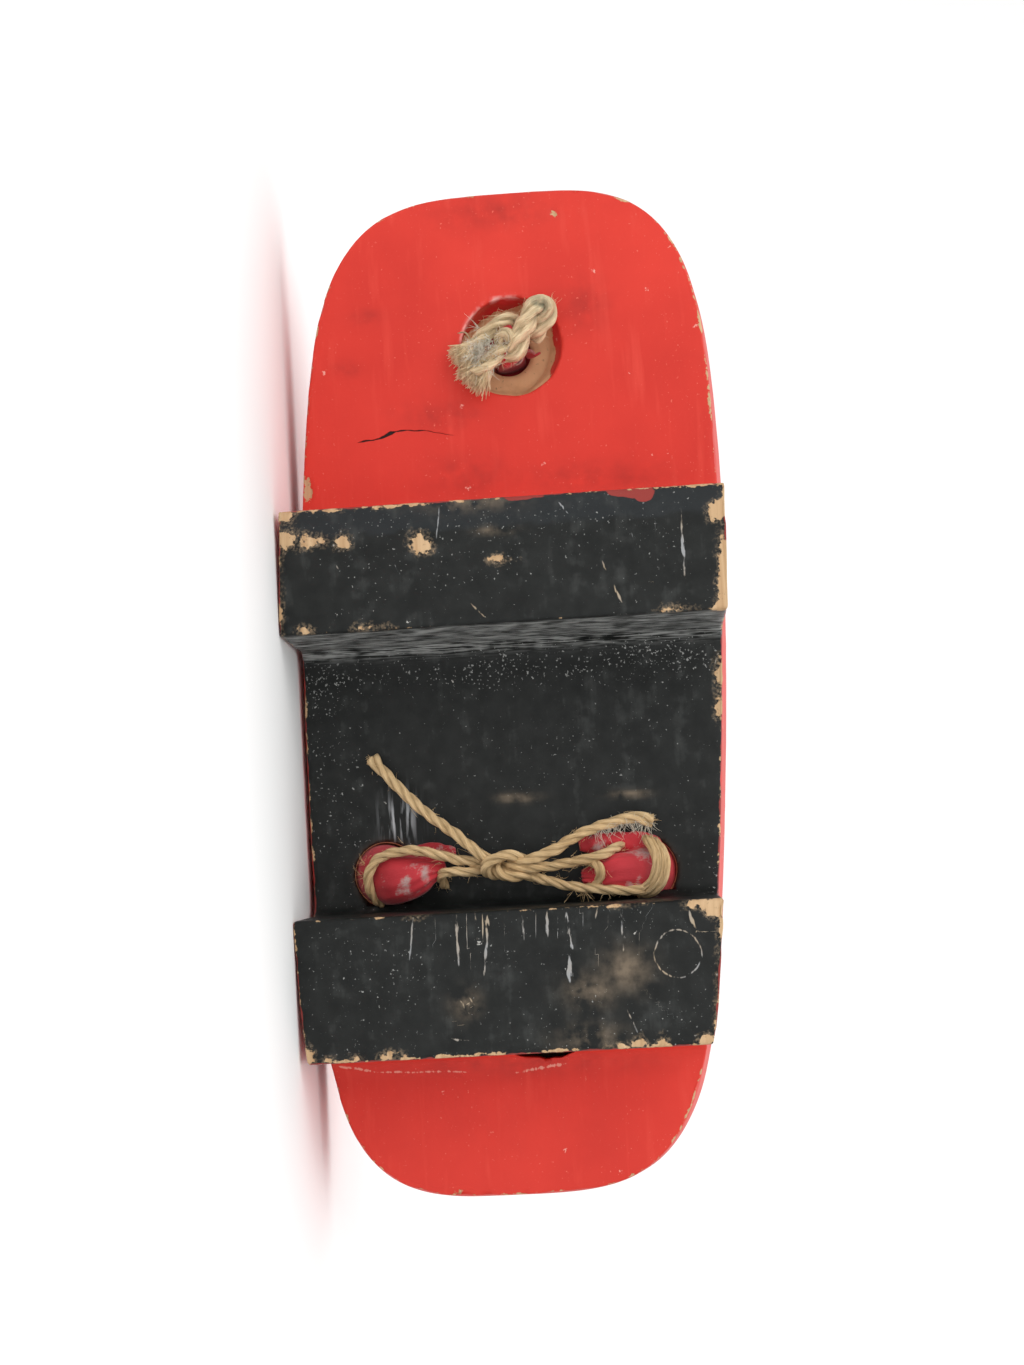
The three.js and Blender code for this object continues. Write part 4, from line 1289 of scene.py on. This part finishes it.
# The toggle's rope under the toe: its fold, its two frayed legs and a small loop between them
TOGGLE_FOLD = [
    (-0.1, 73.6, 26.0),
    (-2.3, 74.0, 23.8),
    (-3.3, 76.4, 22.6),
    (-4.6, 79.2, 21.8),
    (-5.9, 81.8, 21.2),
    (-7.2, 83.9, 21.2),
    (-8.6, 84.7, 21.8),
    (-9.7, 83.7, 22.8),
    (-9.5, 82.0, 23.6),
    (-8.0, 80.0, 24.6),
    (-6.0, 77.9, 26.8),
]
TOGGLE_UPPER = [
    (-2.4, 81.6, 26.5),
    (-0.3, 81.4, 24.6),
    (2.4, 79.8, 23.6),
    (4.6, 77.6, 23.2),
    (7.2, 75.2, 23.4),
    (8.8, 73.8, 23.6),
]
TOGGLE_LOWER = [
    (-1.8, 77.2, 25.5),
    (0.6, 74.9, 23.6),
    (2.8, 72.4, 22.8),
    (5.1, 70.0, 23.0),
    (6.3, 68.6, 23.2),
]
TOGGLE_LOOP = [
    (-1.2, 75.3, 23.4),
    (-1.5, 76.8, 22.2),
    (-0.2, 77.9, 21.8),
    (1.2, 76.9, 22.2),
    (0.8, 75.4, 23.6),
]


def make_toggle():
    """The folded rope that holds the toe post, spread out at its two frayed ends."""
    fold, upper, lower, loop = (
        smooth_path(places, 0.45) for places in (TOGGLE_FOLD, TOGGLE_UPPER, TOGGLE_LOWER, TOGGLE_LOOP)
    )
    ropes = [
        laid_rope(fold, 2.05, 3, 15.0, 71, sides=16, rough=0.3),
        laid_rope(upper, 1.75, 3, 16.0, 72, flared_tip(upper, 5.0, 0.45), sides=14, rough=0.35),
        laid_rope(lower, 1.85, 3, 16.0, 73, flared_tip(lower, 5.0, 0.55), sides=14, rough=0.35),
        laid_rope(loop, 1.3, 3, 11.0, 74, sides=12, rough=0.3),
    ]
    return rope_piece("toggle_rope", ropes)


def frizz(path, radius, lengths, count, seed):
    """Short fibres that lie along a rope and stand off it a little."""
    dice = np.random.default_rng(seed)
    pick = dice.integers(2, len(path) - 2, count)
    along = path[pick + 2] - path[pick - 2]
    along /= np.linalg.norm(along, axis=1, keepdims=True)
    out = np.cross(along, dice.normal(0, 1, (count, 3)))
    out /= np.linalg.norm(out, axis=1, keepdims=True)
    way = along * dice.choice([-1, 1], (count, 1)) + 0.35 * out
    return stray_fibres(path[pick] + radius * out, way, 0.2, lengths, 0.1, count, seed + 1)


def make_toggle_fluff():
    """Brush ends, frizz and grey fluff on the toggle."""
    brush = []
    for leg, half, seed in ((TOGGLE_UPPER, 1.8, 81), (TOGGLE_LOWER, 2.4, 82)):
        leg = np.array(leg)
        way = leg[-1] - leg[-2]
        way /= np.linalg.norm(way)
        aside = np.cross(way, [0, 0, 1.0])
        spread = np.random.default_rng(seed).uniform(-1, 1, (400, 2))
        roots = leg[-1] - 2.4 * way + 0.7 * aside * half * spread[:, :1] + np.array([0, 0, 1.2]) * spread[:, 1:]
        ways = way + 0.3 * aside * spread[:, :1]
        brush.append(stray_fibres(roots, ways, 0.12, (3.4, 5.2), 0.42, 900, seed, 0.12))
        brush.append(frizz(smooth_path(leg, 0.4), 1.7, (1.0, 2.4), 150, seed + 20))
    brush.append(frizz(smooth_path(TOGGLE_FOLD, 0.4), 2.0, (0.8, 1.8), 180, 88))
    mass = np.array([4.4, 73.9, 21.5]) + np.random.default_rng(83).normal(0, 1, (60, 3)) * [1.9, 1.9, 0.5]
    fluff = stray_fibres(mass, np.tile([0.6, -0.5, -0.2], (60, 1)), 1.0, (1.2, 2.8), 0.14, 420, 84, 0.3)
    curl = laid_rope(smooth_path([(10.4, 78.3, 22.3), (8.6, 78.2, 21.6), (7.2, 76.0, 21.9), (6.8, 74.0, 22.6)], 0.4), 0.16, 2, 3.0, 85)
    return rope_piece("toggle_brush", [*brush, curl]), rope_piece("toggle_fluff", [fluff])


def make_tie_fluff():
    """Loose fibres on the tie: under its right end, at both tips, and where it passes the holes."""
    right = smooth_path(END_RIGHT, 1.0)
    left = smooth_path(END_LEFT, 1.0)
    hanging = stray_fibres(right[-14:-1], np.tile([-0.1, -1.0, -0.1], (13, 1)), 0.6, (1.0, 3.4), 0.16, 220, 91)
    tips = [
        stray_fibres(right[-3:], np.tile([-0.8, 0.4, -0.1], (3, 1)), 0.4, (0.5, 1.4), 0.14, 40, 92),
        stray_fibres(left[-3:], np.tile([0.7, 0.7, -0.1], (3, 1)), 0.35, (0.4, 1.0), 0.16, 40, 93),
        stray_fibres([(33.2, -40.0, 26.5), (33.6, -42.6, 26.5)], [(0.5, 0.8, -0.6)] * 2, 0.5, (1.0, 2.6), 0.12, 24, 94),
        stray_fibres([(-15.6, -46.2, 21.6), (-13.8, -46.0, 21.4)], [(-0.1, -0.9, -0.2)] * 2, 0.6, (1.0, 3.0), 0.13, 26, 95),
        stray_fibres([(10.9, -35.2, 19.5)], [(-0.84, -0.54, 0.0)], 0.08, (4.5, 5.5), 0.14, 3, 96, 0.06),
        stray_fibres([(15.8, -43.6, 22.0)], [(0.1, -0.9, -0.1)], 0.7, (1.0, 2.6), 0.10, 9, 97),
    ]
    tips += [frizz(smooth_path(s, 0.5), TWINE, (0.8, 2.2), 50, 100 + k) for k, s in enumerate(STRANDS)]
    tips += [frizz(left, TWINE, (0.6, 1.6), 40, 110), frizz(right, TWINE, (0.8, 2.0), 60, 112)]
    return rope_piece("tie_fibres", tips), rope_piece("tie_fluff", [hanging])


def node(tree, kind, settings=None, **links):
    """A shader node with its inputs set or linked; input names have _ for a space."""
    made = tree.nodes.new(kind)
    for name, value in (settings or {}).items():
        setattr(made, name, value)
    for name, value in links.items():
        key = int(name[1:]) if name[0] == "i" and name[1:].isdigit() else name.replace("_", " ")
        socket = made.inputs[key]
        if isinstance(value, bpy.types.NodeSocket):
            tree.links.new(value, socket)
        else:
            socket.default_value = value
    return made


def math_node(tree, operation, *values, clamp=False):
    """The output of a math node on sockets or numbers."""
    links = {f"i{k}": value for k, value in enumerate(values)}
    return node(tree, "ShaderNodeMath", {"operation": operation, "use_clamp": clamp}, **links).outputs[0]


def blend_colours(tree, share, first, second):
    """The first colour where the share is 0 and the second where it is 1."""
    made = node(tree, "ShaderNodeMix", {"data_type": "RGBA"})
    for key, value in ((0, share), (6, first), (7, second)):
        if isinstance(value, bpy.types.NodeSocket):
            tree.links.new(value, made.inputs[key])
        else:
            made.inputs[key].default_value = value if key == 0 else (*value, 1)
    return made.outputs[2]


def new_material(name):
    """An empty node material with its shader and its object coordinates."""
    material = bpy.data.materials.new(name)
    material.use_nodes = True
    tree = material.node_tree
    shader = tree.nodes["Principled BSDF"]
    coordinates = tree.nodes.new("ShaderNodeTexCoord").outputs["Object"]
    return material, tree, shader, coordinates


def noise(tree, where, scale, detail=4.0, stretch=None):
    """Noise from 0 to 1 at a scale per metre, stretched by three factors."""
    if stretch:
        where = node(tree, "ShaderNodeVectorMath", {"operation": "MULTIPLY"}, i0=where, i1=stretch).outputs[0]
    return node(tree, "ShaderNodeTexNoise", Vector=where, Scale=scale, Detail=detail).outputs["Fac"]


def attribute(tree, name, output="Fac"):
    """A vertex attribute as a socket."""
    return node(tree, "ShaderNodeAttribute", {"attribute_name": name}).outputs[output]


def ramp(tree, share, low, high):
    """0 below low and 1 above high, straight between."""
    made = node(tree, "ShaderNodeMapRange", Value=share)
    made.inputs["From Min"].default_value = low
    made.inputs["From Max"].default_value = high
    return made.outputs[0]


def specks(tree, where, scale, size, picked, stretch=(1, 1, 1)):
    """Scattered specks or, stretched, scratches: 1 within a share of the cell round some cells' points.

    Noise pushes the places about, so that no speck is round.
    """
    shake = node(tree, "ShaderNodeTexNoise", Vector=where, Scale=1500.0, Detail=2.0).outputs["Color"]
    push = {"operation": "MULTIPLY_ADD"}
    where = node(tree, "ShaderNodeVectorMath", push, i0=shake, i1=(0.002, 0.002, 0.002), i2=where).outputs[0]
    stretched = node(tree, "ShaderNodeVectorMath", {"operation": "MULTIPLY"}, i0=where, i1=stretch).outputs[0]
    cells = node(tree, "ShaderNodeTexVoronoi", Vector=stretched, Scale=scale)
    near = ramp(tree, cells.outputs["Distance"], size, size * 0.6)
    dice = node(tree, "ShaderNodeSeparateColor", Color=cells.outputs["Color"]).outputs[0]
    return math_node(tree, "MULTIPLY", near, ramp(tree, dice, picked, picked + 0.01))


def line_share(tree, name, broken, wander, soft):
    """1 on a scratch or crack: within its half width, which the broken share varies, and inside its ends.

    A second share makes it wander from side to side.
    """
    wobble = math_node(tree, "MULTIPLY_ADD", wander, 0.9, -0.45)
    side = math_node(tree, "ABSOLUTE", math_node(tree, "ADD", attribute(tree, f"{name}_side"), wobble))
    inside = attribute(tree, f"{name}_inside")
    taper = ramp(tree, inside, -0.2, 1.4)
    half = math_node(tree, "MULTIPLY", math_node(tree, "MULTIPLY", attribute(tree, f"{name}_half"), broken), taper)
    on_line = ramp(tree, math_node(tree, "SUBTRACT", half, side), -soft, soft)
    shown = math_node(tree, "MULTIPLY", ramp(tree, inside, -0.1, 0.3), ramp(tree, broken, 0.1, 0.7))
    return math_node(tree, "MULTIPLY", on_line, shown)


def paint_material():
    """Red and black paint, worn to the wood at the arrises and in the chips, with scratches and specks."""
    material, tree, shader, where = new_material("painted_wood")
    coarse = noise(tree, where, 45, 3)
    medium = noise(tree, where, 260, 5)
    fine = noise(tree, where, 1100, 3)
    along = noise(tree, where, 120, 5, (0.3, 3.0, 3.0))
    across = noise(tree, where, 800, 8, (3.0, 3.0, 0.22))
    grain = noise(tree, where, 60, 5, (0.5, 14.0, 14.0))
    grit = noise(tree, where, 1700, 4)
    centred = math_node(tree, "SUBTRACT", medium, 0.5)
    fine_centred = math_node(tree, "SUBTRACT", fine, 0.5)
    ragged = math_node(tree, "MULTIPLY_ADD", centred, 3.2, math_node(tree, "MULTIPLY", fine_centred, 2.0))
    chip = math_node(tree, "SUBTRACT", math_node(tree, "ADD", attribute(tree, "bare_mm"), ragged), 0.28)
    chipped = ramp(tree, chip, -0.06, 0.12)
    allowance = math_node(tree, "MULTIPLY_ADD", centred, 2.6, math_node(tree, "MULTIPLY", fine_centred, 1.4))
    rubbed = math_node(tree, "SUBTRACT", math_node(tree, "ADD", allowance, 0.26), attribute(tree, "edge_mm"))
    bare = math_node(tree, "MAXIMUM", chipped, ramp(tree, rubbed, -0.05, 0.1))
    in_black = math_node(tree, "MULTIPLY_ADD", centred, 1.6, attribute(tree, "black_mm"))
    black = ramp(tree, in_black, -0.05, 0.1)
    hole_lighting_and_stain = attribute(tree, "hole_lighting_and_stain")

    red = blend_colours(tree, ramp(tree, coarse, 0.3, 0.7), (0.60, 0.036, 0.024), (0.69, 0.046, 0.030))
    red = blend_colours(tree, ramp(tree, along, 0.56, 0.8), red, (0.70, 0.062, 0.042))
    # Painted shade: darker red in patches on the toe board and next to the teeth
    shaded = math_node(tree, "MULTIPLY", attribute(tree, "shade"), ramp(tree, medium, 0.25, 0.75))
    red = blend_colours(tree, math_node(tree, "MULTIPLY", shaded, 0.7), red, (0.36, 0.026, 0.020))
    red = blend_colours(tree, specks(tree, where, 210, 0.10, 0.80), red, (0.80, 0.33, 0.27))
    red = blend_colours(tree, ramp(tree, grit, 0.68, 0.74), red, (0.72, 0.14, 0.10))
    under_black = ramp(tree, attribute(tree, "black_mm"), -2.6, -2.0)
    red = blend_colours(tree, math_node(tree, "MULTIPLY", under_black, 0.8), red, (0.19, 0.04, 0.035))
    # Painted shade: the red darker on the recess wall and round the bores
    red = blend_colours(tree, math_node(tree, "MULTIPLY", hole_lighting_and_stain, 0.5), red, (0.50, 0.032, 0.036))
    glint = math_node(tree, "MULTIPLY", attribute(tree, "glint"), ramp(tree, medium, 0.44, 0.60))
    red = blend_colours(tree, math_node(tree, "MULTIPLY", glint, 0.8), red, (0.92, 0.55, 0.50))
    crack = line_share(tree, "crack", math_node(tree, "MULTIPLY", medium, 2.0), medium, 0.05)
    red = blend_colours(tree, crack, red, (0.015, 0.004, 0.004))

    dark = blend_colours(tree, ramp(tree, medium, 0.3, 0.75), (0.0075, 0.0085, 0.008), (0.017, 0.0185, 0.0175))
    dark = blend_colours(tree, math_node(tree, "MULTIPLY", attribute(tree, "bevel"), 0.4), dark, (0.028, 0.033, 0.038))
    scuff = ramp(tree, math_node(tree, "MULTIPLY", along, medium), 0.30, 0.50)
    dark = blend_colours(tree, math_node(tree, "MULTIPLY", scuff, 0.7), dark, (0.050, 0.053, 0.051))
    patchy = math_node(tree, "MULTIPLY_ADD", ramp(tree, coarse, 0.42, 0.60), 0.05, grit)
    gritty = ramp(tree, math_node(tree, "MULTIPLY_ADD", attribute(tree, "salt"), 0.09, patchy), 0.715, 0.775)
    dark = blend_colours(tree, math_node(tree, "MULTIPLY", gritty, 0.85), dark, (0.38, 0.385, 0.37))
    streaky = ramp(tree, math_node(tree, "MULTIPLY_ADD", medium, 0.4, across), 0.62, 0.84)
    dusty = math_node(tree, "MULTIPLY", attribute(tree, "dust"), streaky)
    dark = blend_colours(tree, dusty, dark, (0.46, 0.47, 0.455))
    smudged = math_node(tree, "MULTIPLY", attribute(tree, "smudge"), ramp(tree, medium, 0.38, 0.64))
    dark = blend_colours(tree, math_node(tree, "MULTIPLY", smudged, 0.6), dark, (0.29, 0.22, 0.15))
    # Painted highlight: pale gloss reflections on the black board beside the hole
    shine = ramp(tree, noise(tree, where, 420, 4, (0.22, 2.2, 2.2)), 0.50, 0.62)
    dark = blend_colours(tree, math_node(tree, "MULTIPLY", attribute(tree, "streak"), shine), dark, (0.55, 0.57, 0.59))
    scratched = specks(tree, where, 420, 0.055, 0.86, (0.14, 1, 1))
    dark = blend_colours(tree, math_node(tree, "MULTIPLY", scratched, 0.45), dark, (0.20, 0.20, 0.19))
    dark = blend_colours(tree, specks(tree, where, 190, 0.085, 0.93), dark, (0.44, 0.43, 0.40))
    # Browner black round the bores: grime, with painted shade in the holes
    dark = blend_colours(tree, math_node(tree, "MULTIPLY", hole_lighting_and_stain, 0.6), dark, (0.05, 0.025, 0.015))
    fringe = math_node(tree, "MULTIPLY", ramp(tree, chip, -1.1, 0.1), ramp(tree, grit, 0.42, 0.60))
    dark = blend_colours(tree, math_node(tree, "MULTIPLY", fringe, 0.7), dark, (0.30, 0.22, 0.14))
    paint = blend_colours(tree, black, red, dark)
    broken = math_node(tree, "MULTIPLY", ramp(tree, noise(tree, where, 1100, 4, (0.3, 1.4, 1.4)), 0.38, 0.62), 1.3)
    marked = line_share(tree, "mark", broken, medium, 0.10)
    pale = blend_colours(tree, ramp(tree, coarse, 0.44, 0.56), (0.58, 0.46, 0.32), (0.46, 0.47, 0.48))
    pale = blend_colours(tree, black, (0.80, 0.40, 0.31), pale)
    paint = blend_colours(tree, math_node(tree, "MULTIPLY", marked, 0.68), paint, pale)

    wood = blend_colours(tree, ramp(tree, grain, 0.3, 0.7), (0.47, 0.29, 0.15), (0.66, 0.46, 0.27))
    # Painted light: the bare wood in the holes lighter and warmer, standing in for the light on the recess floor
    wood = blend_colours(tree, math_node(tree, "MULTIPLY", hole_lighting_and_stain, 0.8), wood, (0.74, 0.43, 0.23))
    stained = math_node(tree, "MULTIPLY", hole_lighting_and_stain, ramp(tree, medium, 0.48, 0.70))
    wood = blend_colours(tree, math_node(tree, "MULTIPLY", stained, 0.6), wood, (0.42, 0.22, 0.11))
    wood = blend_colours(tree, ramp(tree, fine, 0.64, 0.78), wood, (0.28, 0.17, 0.085))
    colour = blend_colours(tree, bare, paint, wood)
    # Painted shadow: near black in the notch and deep in the toe bore
    colour = blend_colours(tree, attribute(tree, "pit_shadow"), colour, (0.016, 0.009, 0.007))
    tree.links.new(colour, shader.inputs["Base Color"])
    gloss = blend_colours(tree, along, (0.36, 0.36, 0.36), (0.58, 0.58, 0.58))
    gloss = blend_colours(tree, hole_lighting_and_stain, gloss, (0.22, 0.22, 0.22))
    rough = blend_colours(tree, bare, gloss, (0.85, 0.85, 0.85))
    tree.links.new(rough, shader.inputs["Roughness"])
    shader.inputs["Specular IOR Level"].default_value = 0.2
    height = math_node(tree, "MULTIPLY_ADD", bare, -1.2, math_node(tree, "MULTIPLY", along, 0.7))
    height = math_node(tree, "MULTIPLY_ADD", fine, 0.35, height)
    height = math_node(tree, "MULTIPLY_ADD", crack, -4.0, height)
    bump = node(tree, "ShaderNodeBump", Strength=0.6, Distance=0.00014, Height=height)
    tree.links.new(bump.outputs[0], shader.inputs["Normal"])
    return material


def cloth_material():
    """Red cotton with a fine weave, scuffed grey in patches."""
    material, tree, shader, where = new_material("strap_cloth")
    cloth = attribute(tree, "cloth", "Vector")
    weave = noise(tree, cloth, 2.6, 2)
    patch = noise(tree, where, 420, 5)
    coarse = noise(tree, where, 120, 4)
    red = blend_colours(tree, ramp(tree, coarse, 0.3, 0.7), (0.40, 0.012, 0.020), (0.60, 0.028, 0.040))
    rubbed = math_node(tree, "MULTIPLY_ADD", attribute(tree, "scuff"), 0.30, patch)
    worn = ramp(tree, math_node(tree, "MULTIPLY_ADD", weave, 0.3, rubbed), 0.82, 1.05)
    colour = blend_colours(tree, math_node(tree, "MULTIPLY", worn, 0.85), red, (0.48, 0.37, 0.34))
    tree.links.new(colour, shader.inputs["Base Color"])
    shader.inputs["Roughness"].default_value = 0.72
    shader.inputs["Sheen Weight"].default_value = 0.15
    bump = node(tree, "ShaderNodeBump", Strength=0.4, Distance=0.0002, Height=weave)
    tree.links.new(bump.outputs[0], shader.inputs["Normal"])
    return material


def hemp_material(name, low, high):
    """Hemp fibre: streaks along the plies between two colours, painted shade in the grooves, darkened by dirt."""
    material, tree, shader, where = new_material(name)
    fibre = attribute(tree, "fibre", "Vector")
    streak = noise(tree, fibre, 1.0, 4, (0.35, 3.2, 3.2))
    patch = noise(tree, where, 120, 3)
    share = math_node(tree, "MULTIPLY_ADD", patch, 0.5, math_node(tree, "MULTIPLY", streak, 0.8))
    colour = blend_colours(tree, ramp(tree, share, 0.42, 0.8), low, high)
    # Painted shade: the hemp darker in the grooves between the plies
    crease = tuple(0.45 * part for part in low)
    colour = blend_colours(tree, math_node(tree, "MULTIPLY", attribute(tree, "groove_shade"), 0.55), colour, crease)
    soiled = math_node(tree, "MULTIPLY", attribute(tree, "dirt"), ramp(tree, noise(tree, where, 500, 4), 0.35, 0.6))
    colour = blend_colours(tree, math_node(tree, "MULTIPLY", soiled, 0.85), colour, (0.17, 0.18, 0.12))
    tree.links.new(colour, shader.inputs["Base Color"])
    shader.inputs["Roughness"].default_value = 0.8
    strand = noise(tree, fibre, 1.0, 3, (0.9, 7.0, 7.0))
    lay = math_node(tree, "MULTIPLY_ADD", strand, 0.7, streak)
    bump = node(tree, "ShaderNodeBump", Strength=0.9, Distance=0.0005, Height=lay)
    tree.links.new(bump.outputs[0], shader.inputs["Normal"])
    return material


# Camera: the photograph's angle to the shoe, looking at the middle of its underside
CAMERA_OFF_X = -0.0668  # per unit of distance along the line straight down from the shoe
CAMERA_OFF_Y = -0.0941
CAMERA_DISTANCE = 519.0
CAMERA_ROLL = 0.0178
LENS_MM = 61.8
SENSOR_MM = 36.0


def make_camera():
    """The camera, at the photograph's angle to the shoe and rolled so that the toe points up the picture."""
    aim = world(0, 0, BOARD_FOOT)
    place = world(CAMERA_DISTANCE * CAMERA_OFF_X, CAMERA_DISTANCE * CAMERA_OFF_Y, BOARD_FOOT - CAMERA_DISTANCE)
    turn = SHOE.to_3x3().normalized()
    back = (place - aim).normalized()
    top = turn @ Vector((-CAMERA_ROLL, 1, 0))
    right = top.cross(back).normalized()
    top = back.cross(right)
    data = bpy.data.cameras.new("camera")
    data.sensor_fit = "VERTICAL"
    data.sensor_height = SENSOR_MM
    data.lens = LENS_MM
    camera = bpy.data.objects.new("camera", data)
    camera.matrix_world = Matrix.Translation(place) @ Matrix((right, top, back)).transposed().to_4x4()
    bpy.context.scene.collection.objects.link(camera)
    bpy.context.scene.camera = camera
    return camera


def make_stage():
    """A pale floor that curves up into a back wall, and soft light from the camera's side."""
    across = np.linspace(-3, 3, 3)
    bend_turn = np.linspace(0, np.pi / 2, 12)
    depth = np.concatenate([[-3.0], 1.2 + 0.8 * np.sin(bend_turn), [2.0]])
    height = np.concatenate([[0.0], 0.8 - 0.8 * np.cos(bend_turn), [4.0]])
    points = np.stack(np.broadcast_arrays(across[None, :], depth[:, None], height[:, None]), axis=-1)
    mesh = bpy.data.meshes.new("floor")
    mesh.from_pydata(points.reshape(-1, 3), [], grid_faces(len(depth), 3).tolist())
    mesh.shade_smooth()
    floor = show(mesh)
    material, _, shader, _ = new_material("floor")
    shader.inputs["Base Color"].default_value = (0.93, 0.93, 0.925, 1)
    shader.inputs["Roughness"].default_value = 0.9
    mesh.materials.append(material)
    lamps = [
        ("key", (-0.9, -1.5, 1.3), 1.6, 16.0),
        ("fill", (0.5, -1.7, 0.6), 1.4, 6.0),
        ("top", (0, 0.5, 2.2), 2.5, 34.0),
    ]
    for name, place, size, power in lamps:
        data = bpy.data.lights.new(name, "AREA")
        data.size = size
        data.energy = power
        lamp = bpy.data.objects.new(name, data)
        aim = Vector((0, 0, 0.05)) - Vector(place)
        lamp.matrix_world = Matrix.Translation(place) @ aim.to_track_quat("-Z", "Y").to_matrix().to_4x4()
        bpy.context.scene.collection.objects.link(lamp)
    sky = bpy.data.worlds.new("sky")
    sky.use_nodes = True
    sky.node_tree.nodes["Background"].inputs["Color"].default_value = (1, 1, 1, 1)
    sky.node_tree.nodes["Background"].inputs["Strength"].default_value = 0.55
    bpy.context.scene.world = sky
    bpy.context.scene.view_settings.view_transform = "Standard"


def finish_piece(piece, material, slot, *nodes):
    """Gives a piece its material and says what it rides on and what it replaces; its slot is not used."""
    piece.data.materials.clear()
    piece.data.materials.append(material)
    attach(piece, "root")
    for name in nodes:
        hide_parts(name)


make_camera()
tie = make_tie()
tie_fibres, tie_fluff = make_tie_fluff()
toggle = make_toggle()
toggle_brush, toggle_fluff = make_toggle_fluff()
strap = make_strap()
tail_folds = make_tail_folds()
post = make_post()
wad = make_wad()
post_edge = make_post_edge()
block = make_block()

twine_material = hemp_material("hemp_twine", (0.62, 0.39, 0.17), (0.95, 0.69, 0.38))
rope_material = hemp_material("hemp_rope", (0.52, 0.37, 0.19), (0.92, 0.74, 0.47))
fluff_material = hemp_material("grey_fluff", (0.60, 0.55, 0.43), (0.84, 0.79, 0.66))
red_cloth = cloth_material()
finish_piece(block, paint_material(), "painted_wood", "carved_block")
finish_piece(strap, red_cloth, "strap_cloth", "strap")
finish_piece(tail_folds, red_cloth, "strap_cloth")
finish_piece(post, red_cloth, "strap_cloth", "toe_post")
finish_piece(wad, red_cloth, "strap_cloth")
finish_piece(post_edge, red_cloth, "strap_cloth")
finish_piece(toggle, rope_material, "hemp_rope", "toe_toggle")
finish_piece(toggle_brush, rope_material, "hemp_rope")
finish_piece(toggle_fluff, fluff_material, "hemp_rope")
finish_piece(tie_fibres, twine_material, "hemp_twine")
finish_piece(tie_fluff, fluff_material, "hemp_twine")
for name, node_name in (
    ("tie_strands_twine", "tie_strands"),
    ("tie_knot_twine", "tie_knot"),
    ("tie_left_twine", "tie_end_left"),
    ("tie_right_twine", "tie_end_right"),
):
    finish_piece(tie[name][0], twine_material, "hemp_twine", node_name)
make_stage()
